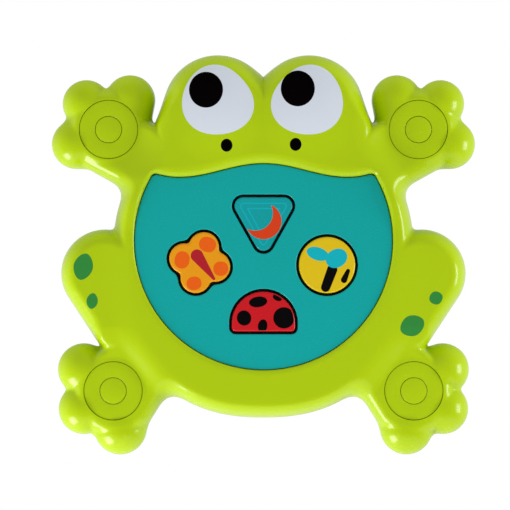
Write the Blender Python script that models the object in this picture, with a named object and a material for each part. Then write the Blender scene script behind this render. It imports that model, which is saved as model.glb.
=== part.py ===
"""Wall-hung bath toy frog with a hinged belly panel and four shape pieces that post through it.

The toy hangs upright on four suction cups. Its front faces -Y, +Z is up and +X is the viewer's
right. The plane y = 0 is the wall that the cups' rims press on. All sizes are in metres, and a
rise is how far a surface stands in front of the plane where the two shells meet.
"""
import math

import bmesh
import bpy
import numpy as np
from mathutils import Vector
from mathutils.geometry import delaunay_2d_cdt

# Depths, measured from the wall
SPLIT_DEPTH = 0.0120       # where the front and rear shells meet
SHELL_GAP = 0.0003         # between pieces that seat on each other
WALL = 0.0025              # moulded wall of both shells

# Rises of the front surface in front of the split
EDGE_RISE = 0.0020
LIMB_RISE = 0.0195
TOE_RISE = 0.0224
THIGH_RISE = 0.0215
RING_RISE = 0.0262         # belly ring round the lower panel
CHEEK_RISE = 0.0300        # belly ring beside the mouth, over the hinge
HEAD_RISE = 0.0300
EYE_RISE = 0.0350
PANEL_RISE = 0.0245

# How far in from its outline each form takes to round over to its full rise
LIMB_ROUND = 0.0105
THIGH_ROUND = 0.0150
RING_ROUND = 0.0150
CHEEK_ROUND = 0.0100
HEAD_ROUND = 0.0230
SOFT_BLEND = 0.0090        # between limbs and body
CHEEK_LOW_Z = 0.0180       # the ring starts to rise here
CHEEK_HIGH_Z = 0.0440
TOE_BLEND = 0.0010

# Belly ring, a squarish egg round the panel: its widths outside the panel's disc
BELLY_SINK = 0.0008        # egg's middle below the panel's
RING_SIDE = 0.0155
RING_ABOVE = 0.0160
RING_BELOW = 0.0342
BELLY_SQUARENESS = 2.3
ROUNDNESS = 2.0            # power of a plain ellipse

# Head outline and eye domes
HEAD_Z = 0.0875
HEAD_HALF_WIDTH = 0.0788
HEAD_HALF_HEIGHT = 0.0364
EYE_X = 0.0326
EYE_Z = 0.1056
EYE_RADIUS = 0.0386
BROW_BLEND = 0.0030        # where the eye domes' outlines meet the brow
NECK_BLEND = 0.0080        # where the head's outline meets the belly's
EYE_BLEND = 0.0020

# Hands and feet: the centre of each cap, its toes as offsets from it, and each toe's radius
HAND_X = 0.1080
HAND_Z = 0.0910
FOOT_X = 0.1048
FOOT_Z = -0.0912
PALM_RADIUS = 0.0285
FOOT_RADIUS = 0.0290
HAND_TOES = ((0.0174, 0.0200, 0.0158), (-0.0135, 0.0219, 0.0172), (0.0241, -0.0095, 0.0170))
FOOT_TOES = ((0.0214, 0.0143, 0.0182), (0.0224, -0.0146, 0.0170), (-0.0035, -0.0279, 0.0179))

# Limbs as tapered bars: both ends' centres and radii
SHOULDER = (0.0723, 0.0630, 0.0248)
WRIST = (0.1115, 0.0842, 0.0240)
THIGH_TOP = (0.1136, -0.0077, 0.0283)
THIGH_END = (0.0975, -0.0480, 0.0235)
HIP = (0.0639, -0.0476, 0.0300)
ANKLE = (0.1000, -0.0868, 0.0300)
WRIST_BLEND = 0.0040       # palms and soles into the limbs
TOE_NOTCH = 0.0015         # rounding of the notches between toes
LIMB_NOTCH = 0.0050
THIGH_NOTCH = 0.0020

# Belly panel: a disc cut off by the mouth line
PANEL_RADIUS = 0.0897
PANEL_Z = 0.0134
MOUTH_TOP = 0.0669
MOUTH_DIP = 0.0574
MOUTH_DIP_X = 0.0588
MOUTH_CORNER_X = 0.0775
MOUTH_CORNER_LIFT = 0.0030
MOUTH_CORNER_ROUND = 0.0022
MOUTH_PAST = 1.3           # how far the corner's curve runs on, as a share of its length
PANEL_THICKNESS = 0.0030
PANEL_CROWN = 0.0015
PANEL_EDGE_ROUND = 0.0010
PANEL_GAP = 0.0005         # seam between the panel and the front shell
LIP_WIDTH = 0.0060         # rounded lip of the shell above the panel
LIP_RISE = 0.0055
RING_LIP_WIDTH = 0.0025    # and round the rest of it
RING_LIP_RISE = 0.0015
LEDGE = 0.0028             # step behind the panel's edge that it closes on
LEDGE_TOP_Z = 0.0300
LEDGE_FADE = 0.0100
LEDGE_LEAST = 0.0003

# Door hinge
HINGE_DROP = 0.0050        # axis below the dips of the mouth line
PIN_RADIUS = 0.00125
PIN_CLEARANCE = 0.0003
KNUCKLE_RADIUS = 0.0028
KNUCKLE_LENGTH = 0.0036
KNUCKLE_OFFSET = 0.0026    # from the panel's edge to the knuckle
KNUCKLE_SIDE_GAP = 0.0004
TONGUE_DROP = 0.0013       # how far the tongue's face lies behind the hinge axis
TONGUE_THICKNESS = 0.0025
TONGUE_HEIGHT = 0.0046
TONGUE_FOOT = 0.0010       # tongue's lower edge above the axis
TONGUE_INNER = 0.0060      # how far the tongue runs in from the panel's edge
PIN_BOSS_LENGTH = 0.0036
PIN_BOSS_HALF = 0.0036
NOTCH_CLEARANCE = 0.0004
PIN_END_GAP = 0.0003
PIN_SHARE = 0.7            # of the boss that the pin runs into
BORE_SHARE = 0.8

# Shape pieces and the rubber collars that hold them
HOLE_EDGE_ROUND = 0.0008
COLLAR_WALL = 0.0010
COLLAR_GAP = 0.0003        # collar to panel
PIECE_GAP = 0.0006         # piece to collar
COLLAR_SINK = 0.0012       # collar's edge below the panel's rim
LINER_THICKNESS = 0.0010
LINER_CLEARANCE = 0.0009   # inside the ledge
LINER_Z = -0.0026
LINER_TOP_Z = 0.0495
LINER_CORNER = 0.0060
PIECE_DEPTH = 0.0130
PIECE_WALL = 0.0020
PIECE_PROUD = 0.0012       # pieces' faces in front of the panel's rim
PIECE_EDGE_ROUND = 0.0014
BASE_FLANGE = 0.0020
BASE_SPIGOT = 0.0030

FLOWER_MARGIN = 0.0219     # from the flower's hole to the panel's disc
ROUND_MARGIN = 0.0240      # from the round hole to the panel's disc
DOME_MARGIN = 0.0247
TRIANGLE_MARGIN = 0.0213   # from the top of the mouth line to the triangle
TRIANGLE_HALF_TOP = 0.0141
TRIANGLE_HEIGHT = 0.0252   # between the centres of its corners
TRIANGLE_ROUND = 0.0080
FLOWER_Z = -0.0018
FLOWER_REACH = 0.0111
LOBE_RADIUS = 0.0124
LOBE_COUNT = 4
LOBE_TURN = math.radians(75)
LOBE_BLEND = 0.0030
FLOWER_HEART = 0.8         # radius of the flower's middle, as a share of its reach
ROUND_Z = -0.0035
ROUND_RADIUS = 0.0215
DOME_RADIUS = 0.0239
DOME_SIDE = 0.0077         # straight side below the half round
DOME_CORNER = 0.0045

# Caps and suction cups
CAP_RADIUS = 0.0203
CAP_DEPTH = 0.0037
CAP_EDGE_ROUND = 0.0005
POCKET_CLEARANCE = 0.0003
PLUG_RADIUS = 0.0091
PLUG_HEAD = 0.0020
PLUG_STEM_RADIUS = 0.0025
PLUG_STEM_LENGTH = 0.0110
PLUG_CROWN = 0.0004
PLUG_TIP = 0.0010
PLUG_TIP_SHARE = 0.6
NECK_RADIUS = 0.0056
NECK_BORE = 0.0028
NECK_BEAD_RADIUS = 0.0078
NECK_BEAD = 0.0013
NECK_TUBE_WALL = 0.0025
NECK_FLOOR = 0.0010
POCKET_SLOPE = 2.0         # how steeply the hollow rises beside a pocket
CUP_RADIUS = 0.0215
CUP_RIM = 0.0014
CUP_FLANGE_RADIUS = 0.0090
CUP_FLANGE = 0.0012
CUP_THICKNESS = 0.0018
CUP_EDGE = 0.0008

# Rear shell
BACK_EDGE_RISE = 0.0016
BACK_LIMB_RISE = 0.0040
BACK_BODY_RISE = 0.0070
BACK_ROUND = 0.0050
BACK_STEP_IN = 0.0060      # from the belly and head outline to where the back starts to bulge
BACK_STEP = 0.0100
DRAIN_COUNT = 5
DRAIN_PITCH = 0.0140
DRAIN_WIDTH = 0.0040
DRAIN_LENGTH = 0.0220
DRAIN_Z = -0.0420

# Case screws
EYE_SCREW_DROP = 0.0036    # below the middle of the eye dome
THIGH_SCREW_OUT = 0.0044   # outside the thigh's upper middle
FOOT_SCREW_IN = 0.0258     # from the foot's cap towards the hip
FOOT_SCREW_UP = 0.0122
POST_RADIUS = 0.0036
PILOT_RADIUS = 0.0015
PILOT_DEPTH = 0.0090
SCREW_RADIUS = 0.0012
SCREW_LENGTH = 0.0100
SCREW_HEAD_RADIUS = 0.0028
SCREW_HEAD = 0.0020
SCREW_CROSS = 0.0007
SCREW_SEAT_WALL = 0.0018
SCREW_BOSS_RADIUS = 0.0050
SCREW_TIP = 0.0012
SCREW_TIP_SHARE = 0.5
SCREW_HEAD_SIDE = 0.0014
SCREW_HEAD_BEVEL = 0.0008
CROSS_DEPTH = 0.0010
CROSS_SHARE = 0.55         # of the head's radius that each arm of the cross reaches

# Fineness of the facets
TRACE_STEP = 0.0008
TRACE_LIMIT = 20000
TRACE_LEAST = 10
SETTLE_STEPS = 4
SLOPE_STEP = 1e-6
OUTLINE_TOLERANCE = 0.00055
BACK_TOLERANCE = 0.0011
OUTLINE_LONGEST = 0.0120
SHAPE_TOLERANCE = 0.00040
SHAPE_LONGEST = 0.0600
STRAIGHT = 0.00001         # a point this near its neighbours' chord is left out
PANEL_TOLERANCE = 0.00022
INSIDE_TOLERANCE = 0.0009
INSIDE_LONGEST = 0.0180
STEP_TOLERANCE = 0.0016
STEP_LOOPS = 3
INSIDE_RINGS = (0.0009, 0.0035)
EDGE_RING_ANGLES = (30, 60)
LIP_RING_SHARES = (0.15, 0.55)
FRONT_GRID = 0.0092
CAVITY_GRID = 0.0150
PANEL_GRID = 0.0200
GRID_CLEAR = 0.5           # kept clear of other points, as a share of the pitch
PANEL_GRID_CLEAR = 0.3
ROW_SHARE = math.sqrt(3) / 2
HALF_SPAN = 0.1600         # grids reach this far from the middle
SEAT_CLEARANCE = 0.0010
TUBE_CLEARANCE = 0.0020
NEIGHBOURS = 8
BACK_RING_SHARES = (1.0,)
CAP_SIDES = 24
NECK_SIDES = 12
CUP_SIDES = 16
PLUG_SIDES = 12
POST_SIDES = 8
PIN_SIDES = 8
SLOT_END_COUNT = 4
SEAT_SIDES = 12
SMOOTH_ANGLE = math.radians(35)
WELD_REACH = 2e-7
MILLIMETRES = 1000
SNAP = 1e-5                # in millimetres, for the triangulator
TINY = 1e-9
REACH = 0.0010             # how far a cutter runs past what it cuts

HINGE_Z = MOUTH_DIP - HINGE_DROP
TRIANGLE_TOP_Z = MOUTH_TOP - TRIANGLE_MARGIN - TRIANGLE_ROUND
TRIANGLE_TIP_Z = TRIANGLE_TOP_Z - TRIANGLE_HEIGHT
FLOWER_X = -(PANEL_RADIUS - FLOWER_MARGIN - FLOWER_REACH - LOBE_RADIUS)
ROUND_X = PANEL_RADIUS - ROUND_MARGIN - ROUND_RADIUS
DOME_FOOT = PANEL_Z - PANEL_RADIUS + DOME_MARGIN
DOME_Z = DOME_FOOT + DOME_SIDE
SPLIT_Y = -SPLIT_DEPTH
REAR_Y = SPLIT_Y + SHELL_GAP
PANEL_Y = SPLIT_Y - PANEL_RISE
PANEL_BACK_Y = PANEL_Y + PANEL_THICKNESS
LIMB_Y = SPLIT_Y - LIMB_RISE
CAP_SEAT_Y = LIMB_Y + CAP_DEPTH + SHELL_GAP
FEET = ((-HAND_X, HAND_Z), (HAND_X, HAND_Z), (-FOOT_X, FOOT_Z), (FOOT_X, FOOT_Z))
FOOT_NAMES = ("left_hand", "right_hand", "left_foot", "right_foot")
SCREW_SPOTS = ((EYE_X, EYE_Z - EYE_SCREW_DROP), (THIGH_TOP[0] + THIGH_SCREW_OUT, THIGH_TOP[1]),
               (FOOT_X - FOOT_SCREW_IN, FOOT_Z + FOOT_SCREW_UP))


# Outlines as fields: negative inside, and about the distance to the outline elsewhere

def disc(x, z, cx, cz, radius):
    return np.hypot(x - cx, z - cz) - radius


def bar(x, z, start, end):
    """A straight bar with round ends that tapers from one radius to the other."""
    dx, dz = end[0] - start[0], end[1] - start[1]
    along = ((x - start[0]) * dx + (z - start[1]) * dz) / (dx * dx + dz * dz)
    along = np.clip(along, 0, 1)
    radius = start[2] + (end[2] - start[2]) * along
    return np.hypot(x - start[0] - dx * along, z - start[1] - dz * along) - radius


def egg(x, z, cz, half_width, up, down, squareness):
    """An oval about x = 0 whose lower half is deeper and squarer than its upper half."""
    lower = z < cz
    height = np.where(lower, down, up)
    power = np.where(lower, squareness, ROUNDNESS)
    ratio = (np.abs(x) / half_width) ** power + (np.abs(z - cz) / height) ** power
    ratio = (ratio + TINY) ** (1 / power)
    return np.hypot(x, z - cz) * (1 - 1 / ratio)


def soft_min(a, b, blend):
    return np.minimum(a, b) - np.maximum(blend - np.abs(a - b), 0) ** 2 / (4 * blend)


def soft_max(a, b, blend):
    return -soft_min(-a, -b, blend)


def round_max(a, b, radius):
    """Where two fields overlap, with the corner between their edges rounded."""
    outside = np.hypot(np.maximum(a + radius, 0), np.maximum(b + radius, 0))
    return np.minimum(np.maximum(a, b) + radius, 0) + outside - radius


def belly_field(x, z):
    side, up, down = PANEL_RADIUS + RING_SIDE, PANEL_RADIUS + RING_ABOVE, PANEL_RADIUS + RING_BELOW
    return egg(x, z, PANEL_Z - BELLY_SINK, side, up, down, BELLY_SQUARENESS)


def eye_field(x, z):
    return disc(np.abs(x), z, EYE_X, EYE_Z, EYE_RADIUS)


def head_field(x, z):
    brow = egg(x, z, HEAD_Z, HEAD_HALF_WIDTH, HEAD_HALF_HEIGHT, HEAD_HALF_HEIGHT, ROUNDNESS)
    return soft_min(brow, eye_field(x, z), BROW_BLEND)


def body_field(x, z):
    return soft_min(belly_field(x, z), head_field(x, z), NECK_BLEND)


def arm_field(x, z):
    x = np.abs(x)
    palm = disc(x, z, HAND_X, HAND_Z, PALM_RADIUS)
    return soft_min(palm, bar(x, z, WRIST, SHOULDER), WRIST_BLEND)


def leg_field(x, z):
    x = np.abs(x)
    sole = disc(x, z, FOOT_X, FOOT_Z, FOOT_RADIUS)
    return soft_min(sole, bar(x, z, ANKLE, HIP), WRIST_BLEND)


def thigh_field(x, z):
    return bar(np.abs(x), z, THIGH_TOP, THIGH_END)


def toes():
    """Centre and radius of every toe on the right-hand side."""
    hands = [(HAND_X + dx, HAND_Z + dz, r) for dx, dz, r in HAND_TOES]
    feet = [(FOOT_X + dx, FOOT_Z + dz, r) for dx, dz, r in FOOT_TOES]
    return hands + feet


def frog_field(x, z):
    """The whole outline as it is seen from the front."""
    limbs = np.minimum(arm_field(x, z), leg_field(x, z))
    for cx, cz, radius in toes():
        limbs = soft_min(limbs, disc(np.abs(x), z, cx, cz, radius), TOE_NOTCH)
    field = soft_min(body_field(x, z), limbs, LIMB_NOTCH)
    return soft_min(field, thigh_field(x, z), THIGH_NOTCH)


def mouth_line(x):
    """Height of the panel's top edge: a cosine wave that lifts again at the corners."""
    x = np.abs(x)
    middle = MOUTH_DIP + (MOUTH_TOP - MOUTH_DIP) * (1 + np.cos(np.pi * x / MOUTH_DIP_X)) / 2
    past = np.clip((x - MOUTH_DIP_X) / (MOUTH_CORNER_X - MOUTH_DIP_X), 0, MOUTH_PAST)
    corner = MOUTH_DIP + MOUTH_CORNER_LIFT * (1 - np.cos(past * np.pi / 2))
    return np.where(x < MOUTH_DIP_X, middle, corner)


def panel_field(x, z):
    round_edge = disc(x, z, 0, PANEL_Z, PANEL_RADIUS)
    return round_max(round_edge, z - mouth_line(x), MOUTH_CORNER_ROUND)


def opening_field(x, z):
    return panel_field(x, z) - PANEL_GAP


def triangle_field(x, z):
    """A triangle that points down, grown by its corner radius."""
    x = np.abs(x)
    top = np.hypot(np.maximum(x - TRIANGLE_HALF_TOP, 0), z - TRIANGLE_TOP_Z)
    dx, dz = TRIANGLE_HALF_TOP, TRIANGLE_TOP_Z - TRIANGLE_TIP_Z
    along = np.clip((x * dx + (z - TRIANGLE_TIP_Z) * dz) / (dx * dx + dz * dz), 0, 1)
    side = np.hypot(x - dx * along, z - TRIANGLE_TIP_Z - dz * along)
    within = (z < TRIANGLE_TOP_Z) & (x * dz < (z - TRIANGLE_TIP_Z) * dx)
    return np.where(within, -1, 1) * np.minimum(top, side) - TRIANGLE_ROUND


def flower_field(x, z):
    field = disc(x, z, FLOWER_X, FLOWER_Z, FLOWER_REACH * FLOWER_HEART)
    for k in range(LOBE_COUNT):
        turn = LOBE_TURN + 2 * math.pi * k / LOBE_COUNT
        cx = FLOWER_X + FLOWER_REACH * math.cos(turn)
        cz = FLOWER_Z + FLOWER_REACH * math.sin(turn)
        field = soft_min(field, disc(x, z, cx, cz, LOBE_RADIUS), LOBE_BLEND)
    return field


def liner_field(x, z):
    """A disc that clears the ledge, cut off below the hinge."""
    radius = PANEL_RADIUS + PANEL_GAP - LEDGE - LINER_CLEARANCE - (PANEL_Z - LINER_Z)
    return round_max(disc(x, z, 0, LINER_Z, radius), z - LINER_TOP_Z, LINER_CORNER)


def round_field(x, z):
    return disc(x, z, ROUND_X, ROUND_Z, ROUND_RADIUS)


def dome_field(x, z):
    """A half round that stands on a flat foot."""
    side = np.where(z > DOME_Z, np.hypot(x, z - DOME_Z), np.abs(x)) - DOME_RADIUS
    return round_max(side, DOME_FOOT - z, DOME_CORNER)


PIECES = {
    "triangle": (triangle_field, (0.0, (TRIANGLE_TOP_Z + TRIANGLE_TIP_Z) / 2)),
    "flower": (flower_field, (FLOWER_X, FLOWER_Z)),
    "round": (round_field, (ROUND_X, ROUND_Z)),
    "dome": (dome_field, (0.0, (DOME_Z + DOME_FOOT) / 2)),
}


# Surfaces

def rounded(depth, width, rise):
    """A rise that starts steeply at the outline and levels off, as a quarter of an ellipse."""
    share = np.clip(depth / width, 0, 1)
    over = EDGE_RISE + (rise - EDGE_RISE) * np.sqrt(1 - (1 - share) ** 2)
    return np.where(depth > 0, over, EDGE_RISE)


def bulge(x, z, cx, cz, radius, rise):
    """An ellipsoid's rise."""
    share = np.clip(1 - ((x - cx) ** 2 + (z - cz) ** 2) / radius ** 2, 0, 1)
    return EDGE_RISE + (rise - EDGE_RISE) * np.sqrt(share)


def cheek(z, low, high):
    """A value that goes smoothly from low round the belly to high beside the mouth."""
    share = np.clip((z - CHEEK_LOW_Z) / (CHEEK_HIGH_Z - CHEEK_LOW_Z), 0, 1)
    return low + (high - low) * share * share * (3 - 2 * share)


def front_rise(x, z):
    """The frog's front surface, in front of the split."""
    limbs = rounded(-np.minimum(arm_field(x, z), leg_field(x, z)), LIMB_ROUND, LIMB_RISE)
    for cx, cz, radius in toes():
        limbs = soft_max(limbs, bulge(np.abs(x), z, cx, cz, radius, TOE_RISE), TOE_BLEND)
    thigh = rounded(-thigh_field(x, z), THIGH_ROUND, THIGH_RISE)
    limbs = soft_max(limbs, thigh, SOFT_BLEND)
    width, rise = cheek(z, RING_ROUND, CHEEK_ROUND), cheek(z, RING_RISE, CHEEK_RISE)
    belly = rounded(-belly_field(x, z), width, rise)
    head = rounded(-head_field(x, z), HEAD_ROUND, HEAD_RISE)
    body = soft_max(belly, head, SOFT_BLEND)
    eyes = bulge(np.abs(x), z, EYE_X, EYE_Z, EYE_RADIUS, EYE_RISE)
    body = soft_max(body, eyes, EYE_BLEND)
    rise = soft_max(body, limbs, SOFT_BLEND)
    edge = rounded(-frog_field(x, z), LIMB_ROUND, EYE_RISE + SOFT_BLEND)
    rise = np.minimum(rise, edge)
    out = np.clip(opening_field(x, z), 0, None)
    width = cheek(z, RING_LIP_WIDTH, LIP_WIDTH)
    share = np.clip(out / width, 0, 1)
    lip = cheek(z, RING_LIP_RISE, LIP_RISE) * np.sqrt(1 - (1 - share) ** 2)
    lip = PANEL_RISE + lip + np.maximum(out - width, 0)
    return np.minimum(rise, lip)


def around(surface, x, z, width):
    """The lowest value of a surface within a width of each point."""
    low = surface(x, z)
    for k in range(NEIGHBOURS):
        turn = 2 * math.pi * k / NEIGHBOURS
        low = np.minimum(low, surface(x + width * math.cos(turn), z + width * math.sin(turn)))
    return low


def foot_distance(x, z):
    x = np.abs(x)
    return np.minimum(np.hypot(x - HAND_X, z - HAND_Z), np.hypot(x - FOOT_X, z - FOOT_Z))


def cavity_rise(x, z):
    """The inside of the front shell: one wall behind the front surface and the cap pockets."""
    rise = around(front_rise, x, z, WALL) - WALL
    pocket = LIMB_RISE - CAP_DEPTH - SHELL_GAP - WALL
    beyond = np.maximum(foot_distance(x, z) - CAP_RADIUS - POCKET_CLEARANCE - WALL, 0)
    return np.clip(np.minimum(rise, pocket + POCKET_SLOPE * beyond), SHELL_GAP, None)


def back_rise(x, z):
    """The back of the rear shell, behind the split: flat limbs and a deeper bin."""
    share = np.clip((-body_field(x, z) - BACK_STEP_IN) / BACK_STEP, 0, 1)
    share = share * share * (3 - 2 * share)
    full = BACK_LIMB_RISE + (BACK_BODY_RISE - BACK_LIMB_RISE) * share
    in_by = np.clip(-frog_field(x, z) / BACK_ROUND, 0, 1)
    return BACK_EDGE_RISE + (full - BACK_EDGE_RISE) * np.sqrt(1 - (1 - in_by) ** 2)


def back_cavity_rise(x, z):
    return np.clip(around(back_rise, x, z, WALL) - WALL, SHELL_GAP, None)


def panel_front(x, z):
    """The panel's front, in front of its back face: crowned, with rounded edges."""
    out = np.clip(1 - (x ** 2 + (z - PANEL_Z) ** 2) / PANEL_RADIUS ** 2, 0, 1)
    rise = PANEL_THICKNESS + PANEL_CROWN * out
    edge = np.clip(-panel_field(x, z) / PANEL_EDGE_ROUND, 0, 1)
    rise = rise - PANEL_EDGE_ROUND * (1 - np.sqrt(1 - (1 - edge) ** 2))
    for field, _ in PIECES.values():
        edge = np.clip(field(x, z) / HOLE_EDGE_ROUND, 0, 1)
        rise = rise - HOLE_EDGE_ROUND * (1 - np.sqrt(1 - (1 - edge) ** 2))
    return rise


# Loops and triangles

def slope(field, points):
    d = SLOPE_STEP
    x, z = points[:, 0], points[:, 1]
    here = field(x, z)
    grad = np.column_stack([field(x + d, z) - here, field(x, z + d) - here]) / d
    return here, grad / np.maximum(np.linalg.norm(grad, axis=1, keepdims=True), TINY)


def settle(field, points, level=0.0):
    """Move points straight onto one level of a field."""
    for _ in range(SETTLE_STEPS):
        here, out = slope(field, points)
        points = points - (here - level)[:, None] * out
    return points


def thin_out(points, tolerance, longest):
    """Drop the points of a fine line that lie within a tolerance of the chords between the rest."""
    keep = {0, len(points) - 1}
    spans = [(0, len(points) - 1)]
    while spans:
        a, b = spans.pop()
        if b - a < 2:
            continue
        chord = points[b] - points[a]
        length = np.hypot(*chord)
        between = points[a + 1:b] - points[a]
        if length > TINY:
            off = np.abs(between[:, 0] * chord[1] - between[:, 1] * chord[0]) / length
        else:
            off = np.hypot(between[:, 0], between[:, 1])
        far = int(np.argmax(off))
        if off[far] < tolerance and length < longest:
            continue
        split = a + 1 + far if off[far] >= tolerance else (a + b) // 2
        keep.add(split)
        spans += [(a, split), (split, b)]
    return points[sorted(keep)]


def trace(field, start, tolerance, mirrored=True, longest=OUTLINE_LONGEST):
    """Walk anticlockwise round a field's zero line and return it as a closed loop of points.

    The walk starts straight below a point inside the line. A mirrored line is walked on its
    right-hand half alone, up to x = 0, and copied to the left.
    """
    point = np.array([start])
    while field(point[:, 0], point[:, 1])[0] < 0:
        point = point - [[0, TRACE_STEP]]
    line = [settle(field, point)]
    while len(line) < TRACE_LIMIT:
        _, out = slope(field, line[-1])
        ahead = line[-1] + TRACE_STEP * np.column_stack([-out[:, 1], out[:, 0]])
        here, out = slope(field, ahead)
        ahead = ahead - here[:, None] * out
        if mirrored and ahead[0, 0] < 0:
            break
        if len(line) > TRACE_LEAST and np.hypot(*(ahead - line[0])[0]) < TRACE_STEP:
            break
        line.append(ahead)
    line = settle(field, np.vstack(line))
    if not mirrored:
        line = np.vstack([line, line[:1]])
        return thin_out(line, tolerance, longest)[:-1]
    line[0, 0] = 0
    line[-1, 0] = 0
    half = thin_out(line, tolerance, longest)
    other = half[-2:0:-1] * [-1, 1]
    return np.vstack([half, other])


def bends(loop):
    """A closed loop without the points that lie on the line between their neighbours."""
    before = np.roll(loop, 1, axis=0)
    chord = np.roll(loop, -1, axis=0) - before
    reach = loop - before
    off = np.abs(chord[:, 0] * reach[:, 1] - chord[:, 1] * reach[:, 0]) / np.hypot(*chord.T)
    return loop[off > STRAIGHT]


def inset(field, loop, distance):
    """A loop moved in from a field's outline, square to it. A negative distance moves it out."""
    _, out = slope(field, loop)
    distance = np.broadcast_to(distance, len(loop))
    return loop - distance[:, None] * out


def circle(cx, cz, radius, count, turn=0.0):
    angle = turn + np.arange(count) * 2 * np.pi / count
    return np.column_stack([cx + radius * np.cos(angle), cz + radius * np.sin(angle)])


def rectangle(low_x, high_x, low_z, high_z):
    return np.array([[low_x, low_z], [high_x, low_z], [high_x, high_z], [low_x, high_z]])


def grid(pitch):
    """Points of a triangular grid that is alike on both sides of x = 0."""
    points = []
    rows = int(HALF_SPAN / (pitch * ROW_SHARE))
    steps = int(HALF_SPAN / pitch)
    for row in range(-rows, rows + 1):
        shift = (row % 2) / 2
        for k in range(-steps - 1, steps + 1):
            points.append(((k + shift) * pitch, row * pitch * ROW_SHARE))
    return np.array(points)


def within(loop, points):
    """Which points lie inside a closed loop."""
    x, z = points[:, 0], points[:, 1]
    inside = np.zeros(len(points), bool)
    for a, b in zip(loop, np.roll(loop, -1, axis=0)):
        if a[1] == b[1]:
            continue
        crosses = (a[1] > z) != (b[1] > z)
        at = a[0] + (z - a[1]) * (b[0] - a[0]) / (b[1] - a[1])
        inside ^= crosses & (x < at)
    return inside


def clear_of(points, others, gap):
    """The points that lie at least a gap away from all the others."""
    off = points[:, None, :] - others[None, :, :]
    return points[(np.hypot(off[..., 0], off[..., 1]) > gap).all(axis=1)]


def sheet(loop, holes, depth, points=()):
    """Triangles across a loop, open at its holes, with each point's y given by depth(x, z)."""
    loops = [loop] + holes
    edges = []
    first = 0
    for part in loops:
        count = len(part)
        edges += [(first + k, first + (k + 1) % count) for k in range(count)]
        first += count
    flat = np.vstack(loops + ([points] if len(points) else []))
    found = delaunay_2d_cdt([Vector(p * MILLIMETRES) for p in flat], edges, [], 0, SNAP)
    # the triangulator works in single precision, so its points are matched to the ones given
    source = [group[0] for group in found[3]]
    faces = np.array([[source[k] for k in face] for face in found[2]])
    middle = flat[faces].mean(axis=1)
    keep = within(loop, middle)
    for hole in holes:
        keep &= ~within(hole, middle)
    y = np.broadcast_to(depth(flat[:, 0], flat[:, 1]), len(flat))
    return np.column_stack([flat[:, 0], y, flat[:, 1]]), faces[keep].tolist()


def strip(loop_a, y_a, loop_b, y_b):
    """A wall between two loops of as many points."""
    count = len(loop_a)
    y_a = np.broadcast_to(y_a, count)
    y_b = np.broadcast_to(y_b, count)
    verts = np.vstack([
        np.column_stack([loop_a[:, 0], y_a, loop_a[:, 1]]),
        np.column_stack([loop_b[:, 0], y_b, loop_b[:, 1]]),
    ])
    faces = []
    for k in range(count):
        n = (k + 1) % count
        faces.append([k, n, count + n, count + k])
    return verts, faces


def flat_at(y):
    return lambda x, z: np.full_like(x, y)


# Objects

def material(name, colour, roughness, metallic=0.0):
    made = bpy.data.materials.new(name)
    made.use_nodes = True
    shader = made.node_tree.nodes["Principled BSDF"]
    shader.inputs["Base Color"].default_value = (*colour, 1.0)
    shader.inputs["Roughness"].default_value = roughness
    shader.inputs["Metallic"].default_value = metallic
    made.diffuse_color = (*colour, 1.0)
    return made


def weld(name, patches, finish, parent=None):
    """One closed object from patches that share their border points."""
    mesh = bpy.data.meshes.new(name)
    verts, faces = [], []
    for points, polygons in patches:
        shift = len(verts)
        verts += [tuple(p) for p in points]
        faces += [[k + shift for k in polygon] for polygon in polygons]
    mesh.from_pydata(verts, [], faces)
    shape = bmesh.new()
    shape.from_mesh(mesh)
    bmesh.ops.remove_doubles(shape, verts=shape.verts, dist=WELD_REACH)
    loose = [v for v in shape.verts if not v.link_faces]
    bmesh.ops.delete(shape, geom=loose, context="VERTS")
    bmesh.ops.recalc_face_normals(shape, faces=shape.faces)
    if shape.calc_volume(signed=True) < 0:
        bmesh.ops.reverse_faces(shape, faces=shape.faces)
    shape.to_mesh(mesh)
    shape.free()
    mesh.shade_smooth()
    mesh.set_sharp_from_angle(angle=SMOOTH_ANGLE)
    made = bpy.data.objects.new(name, mesh)
    bpy.context.collection.objects.link(made)
    if finish:
        mesh.materials.append(finish)
    if parent:
        made.parent = parent
        made.matrix_parent_inverse = parent.matrix_world.inverted()
    return made


def prism(loop, y_low, y_high):
    """Patches of a straight-sided solid between two depths."""
    return [
        sheet(loop, [], flat_at(y_low)),
        sheet(loop, [], flat_at(y_high)),
        strip(loop, y_low, loop, y_high),
    ]


def turned(profile, cx, cz, count, closed=False):
    """Patches of a solid turned about a line along Y. The profile's points are (radius, y)."""
    patches = []
    pairs = list(zip(profile, profile[1:]))
    if closed:
        pairs.append((profile[-1], profile[0]))
    for (ra, ya), (rb, yb) in pairs:
        if ra > 0 and rb > 0:
            patches.append(strip(circle(cx, cz, ra, count), ya, circle(cx, cz, rb, count), yb))
            continue
        if ra == rb:
            continue
        rim = circle(cx, cz, max(ra, rb), count)
        rim_y, pole_y = (ya, yb) if ra > rb else (yb, ya)
        verts = np.vstack([
            np.column_stack([rim[:, 0], np.full(count, rim_y), rim[:, 1]]),
            [[cx, pole_y, cz]],
        ])
        patches.append((verts, [[k, (k + 1) % count, count] for k in range(count)]))
    return patches


def rod(x_low, x_high, y, z, radius, count):
    """Patches of a round rod along X."""
    ring = circle(0, 0, radius, count, math.pi / count)
    ends = []
    for x in (x_low, x_high):
        ends.append(np.column_stack([np.full(count, x), y + ring[:, 0], z + ring[:, 1]]))
    sides = [[k, (k + 1) % count, count + (k + 1) % count, count + k] for k in range(count)]
    caps = [list(range(count)), list(range(count, 2 * count))]
    return [(np.vstack(ends), sides + caps)]


def box(low, high):
    """Patches of a block between two corners."""
    loop = rectangle(low[0], high[0], low[2], high[2])
    return prism(loop, low[1], high[1])


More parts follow.
